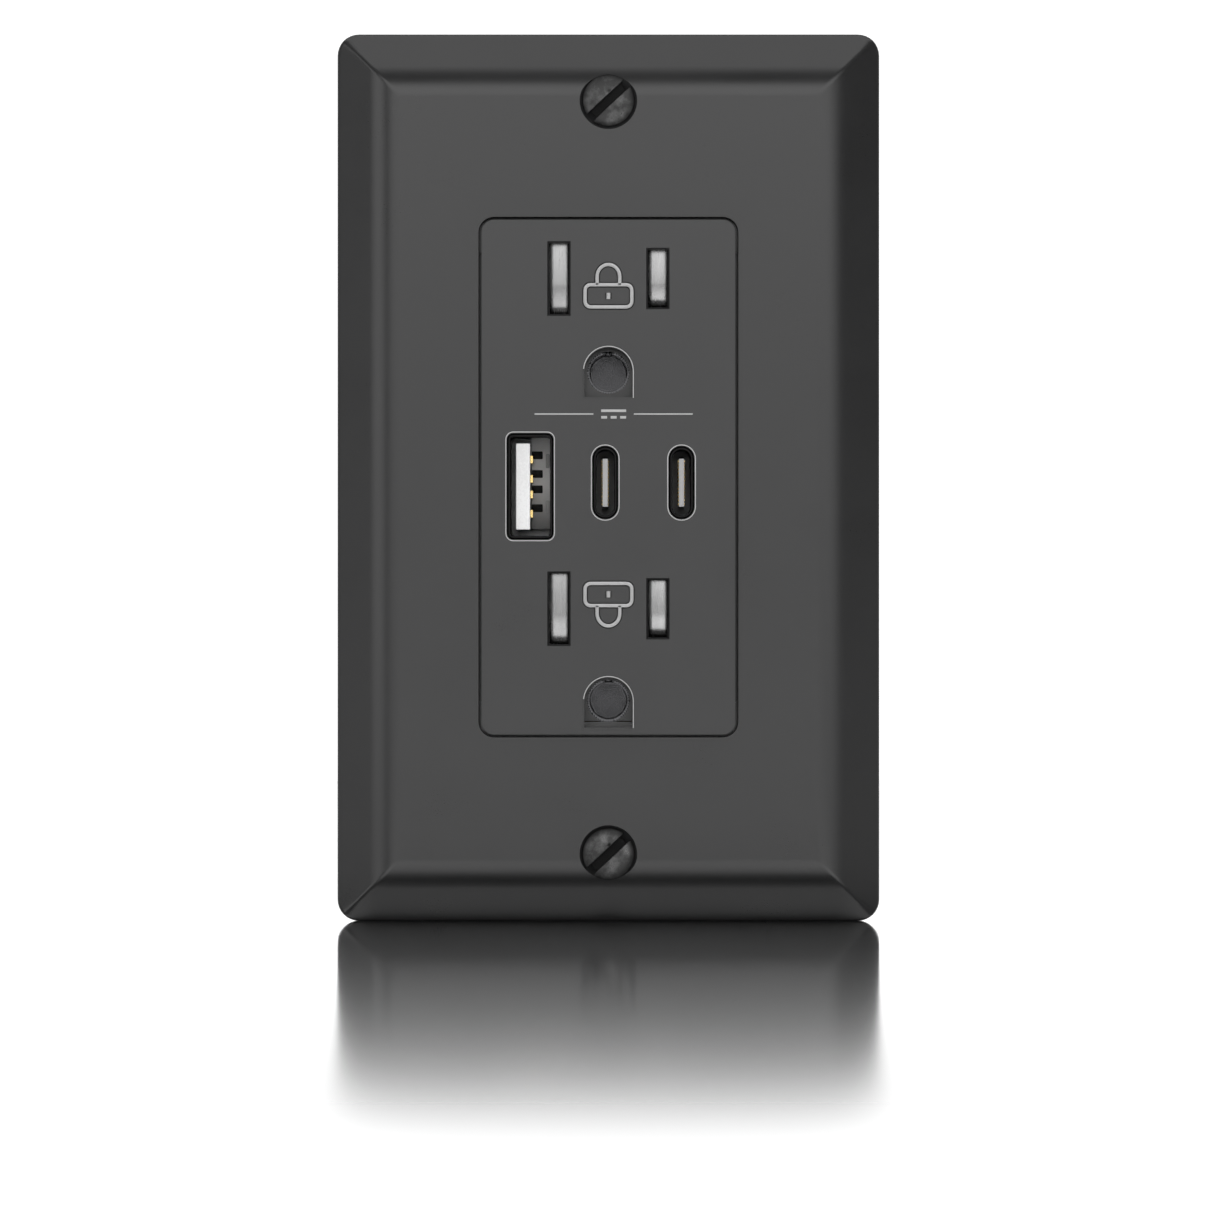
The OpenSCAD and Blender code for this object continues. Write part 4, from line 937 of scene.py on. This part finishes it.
def paintedEdgeHighlights(r):
    # Fine light grey beads that paint highlights round the port openings, and over the ground
    # holes' arches and down their right sides
    lines = []
    for key in ("wide", "left", "right"):
        x, z, halfWidth, halfHeight, radius = r[key]
        path = roundBox(x - halfWidth, x + halfWidth, z - halfHeight, z + halfHeight, radius, 9)
        lines.append((path, r["width"], r["rise"], marks["face"], True))
    for z in groundHoles:
        turn = np.linspace(math.pi * 0.97, 0, 33)
        arch = np.stack([r["archRadius"] * np.cos(turn), z + r["archRadius"] * np.sin(turn)], 1)
        path = np.concatenate([arch, [[r["archRadius"], z - r["archFoot"]]]])
        lines.append((path, r["width"], r["rise"], marks["face"], False))
    return strokes("opening_painted_highlights", bodyOf["front_cover"], "port_grey", lines)


paintedEdgeHighlights(highlightBeads)
print("marks made")

portBack = {
    "left": -9.95, "right": -7.55, "low": -6.6, "high": 5.2, "front": 2.6, "back": 5.4,
    "cells": (2.96, 0.54, -1.45, -3.88), "cellLeft": -9.9, "cellRight": -8.5, "cellHigh": 1.0,
    "tabs": ((2.2, 1.8), (-3.75, 1.7)), "tabLeft": -8.1, "tabRight": -7.6, "corner": 0.12,
    "ease": 0.03, "cellProud": 0.12, "tabProud": 0.08, "shadeHigh": 5.5,
}


def slab(left, right, low, high, front, back, p):
    # A thin block with eased front edges, as rings from the back outline to the front one
    ease = p["ease"]
    rings = []
    for y, inset in ((back, 0.0), (front + ease, 0.0), (front + 0.3 * ease, 0.3 * ease),
                     (front, ease)):
        loop = roundBox(left + inset, right - inset, low + inset, high - inset, p["corner"])
        rings.append(lifted(loop, y))
    size = len(rings[0])
    faces = gridFaces(len(rings), size)
    faces += [list(range(size)), list(range(size * 3, size * 4))]
    return np.concatenate(rings), faces


def portBackFinish(p):
    # Pale insulator that falls into shade towards the foot
    paint = Paint("portBackPale")
    fall = paint.axis("Z").above(p["low"], p["low"] + p["shadeHigh"])
    cloud = paint.noise(1.2, 2.0)
    paint.set(Base_Color=paint.mix(fall, (0.3, 0.3, 0.3), (0.93, 0.93, 0.93)))
    paint.set(Roughness=0.32 + cloud * 0.08)
    paint.bump(cloud, 0.004)
    return paint.material


def portDetails(p):
    # The wide port's pale back, with four dark cells, painted shade over the contacts, and two grey
    # tabs standing proud of it
    body, front = bodyOf["usb_a_shell"], p["front"]
    points, faces = slab(p["left"], p["right"], p["low"], p["high"], front, p["back"], p)
    meshPiece("usb_a_back", points, faces, body, "port_white", finish=portBackFinish(p))
    # Dark cells: painted shade where the contacts sit
    for i, z in enumerate(p["cells"]):
        half = p["cellHigh"] / 2
        points, faces = slab(p["cellLeft"], p["cellRight"], z - half, z + half,
                             front - p["cellProud"], front, p)
        meshPiece(f"usb_a_contact_shade_{i + 1}", points, faces, body, "port_black")
    for i, (z, high) in enumerate(p["tabs"]):
        points, faces = slab(p["tabLeft"], p["tabRight"], z - high / 2, z + high / 2,
                             front - p["tabProud"], front, p)
        meshPiece(f"usb_a_tab_{i + 1}", points, faces, body, "port_grey")


portDetails(portBack)
print("port details made")

room = {
    "floorZ": -57.15, "floorBack": 900.0, "floorFront": -1450.0, "halfWidth": 1500.0,
    "backY": 850.0, "backHigh": 1400.0, "glossReach": 470.0, "glossFall": ((0.3, 1.5), (0.62, 7.0)),
    "glossSide": (50.0, 75.0), "glossBehind": (15.0, 30.0), "backGlow": 1.15,
    "contactFront": (15.0, 90.0), "contactSide": (30.0, 34.0), "floorGlow": 0.32,
}
worldLight = {"dark": 0.05, "pale": 0.9, "from": -0.2, "to": 0.2}


def roomPlane(name, corners, material):
    # One flat face of the room, from its four corners
    mesh = bpy.data.meshes.new(name)
    mesh.from_pydata((np.array(corners, float) * mm).tolist(), [], [[0, 1, 2, 3]])
    mesh.materials.append(material)
    made = bpy.data.objects.new(name, mesh)
    scene.collection.objects.link(made)
    return made


def floorFinish(r):
    # Glossy sheet in front of the object whose shine fades: the matt share is a slow power and a
    # fast power of the distance in front over the reach, and rises to all matt at both sides and
    # behind
    paint = Paint("paleFloor")
    (slow, slowPower), (fast, fastPower) = r["glossFall"]
    y = paint.axis("Y")
    away = paint.axis("X").size()
    ahead = (0 - y).most(0.0)
    run = ahead / r["glossReach"]
    matt = (run.power(slowPower) * slow + run.power(fastPower) * fast).least(1.0)
    side = away.above(*r["glossSide"])
    # Painted contact shadow: the shine is tinted darker just in front of and under the object
    contactShade = (1 - ahead.above(*r["contactFront"])) * (1 - away.above(*r["contactSide"]))
    behind = y.above(*r["glossBehind"])
    shine = (1 - matt) * (1 - side) * (1 - behind)
    paint.set(Base_Color=paint.mix(shine, (0.86, 0.86, 0.86),
                                   paint.mix(contactShade, (0.92, 0.92, 0.92), (0.68, 0.68, 0.68))))
    paint.set(Metallic=shine)
    rough = (0.04 + run * 0.09).least(0.3)
    paint.set(Roughness=rough * shine + 0.5 * (1 - shine))
    paint.set(Emission_Color=paint.mix(shine, (1.0, 1.0, 1.0), (0.0, 0.0, 0.0)))
    paint.surface.inputs["Emission Strength"].default_value = r["floorGlow"]
    return paint.material


def glow(name, strength):
    # Black surface that gives off an even white light
    paint = Paint(name)
    paint.set(Base_Color=(0.0, 0.0, 0.0), Emission_Color=(1.0, 1.0, 1.0))
    paint.surface.inputs["Emission Strength"].default_value = strength
    return paint.material


def setRoom(r, w):
    # Floor under the object, bright backdrop behind it and a world that is dark in front
    half = r["halfWidth"]
    z = r["floorZ"]
    roomPlane("floor", [[-half, r["floorFront"], z], [half, r["floorFront"], z],
                        [half, r["floorBack"], z], [-half, r["floorBack"], z]], floorFinish(r))
    roomPlane("backdrop", [[-half, r["backY"], z - 5], [half, r["backY"], z - 5],
                           [half, r["backY"], r["backHigh"]], [-half, r["backY"], r["backHigh"]]],
              glow("paleBackdrop", r["backGlow"]))
    around = Surround("softRoom")
    share = around.direction("Y").above(w["from"], w["to"])
    around.set(Color=around.mix(share, (w["dark"],) * 3, (w["pale"],) * 3))


lights = {
    "frontBox": {"place": (130, -1500, 515), "target": (130, 0, 515), "size": (1740, 930),
                 "watts": 13.2},
    "topBox": {"place": (0, -293, 851), "target": (0, 0, 0), "size": (1400, 350), "watts": 3.0},
    "leftBox": {"place": (-690, -580, 30), "target": (0, 0, 0), "size": (350, 700), "watts": 1.6},
    "rightBox": {"place": (770, -918, 60), "target": (0, 0, 0), "size": (330, 700), "watts": 0.9},
}


def softbox(name, place, target, size, watts):
    # A rectangular light turned towards its target
    data = bpy.data.lights.new(name, "AREA")
    data.shape = "RECTANGLE"
    data.size, data.size_y = (v * mm for v in size)
    data.energy = watts
    made = bpy.data.objects.new(name, data)
    scene.collection.objects.link(made)
    made.location = [v * mm for v in place]
    aim = made.location - Vector([v * mm for v in target])
    made.rotation_euler = aim.to_track_quat("Z", "Y").to_euler()
    return made


setRoom(room, worldLight)
for name, settings in lights.items():
    softbox(name, **settings)
scene.view_settings.view_transform = "Standard"
scene.view_settings.look = "None"
print("room and light set")
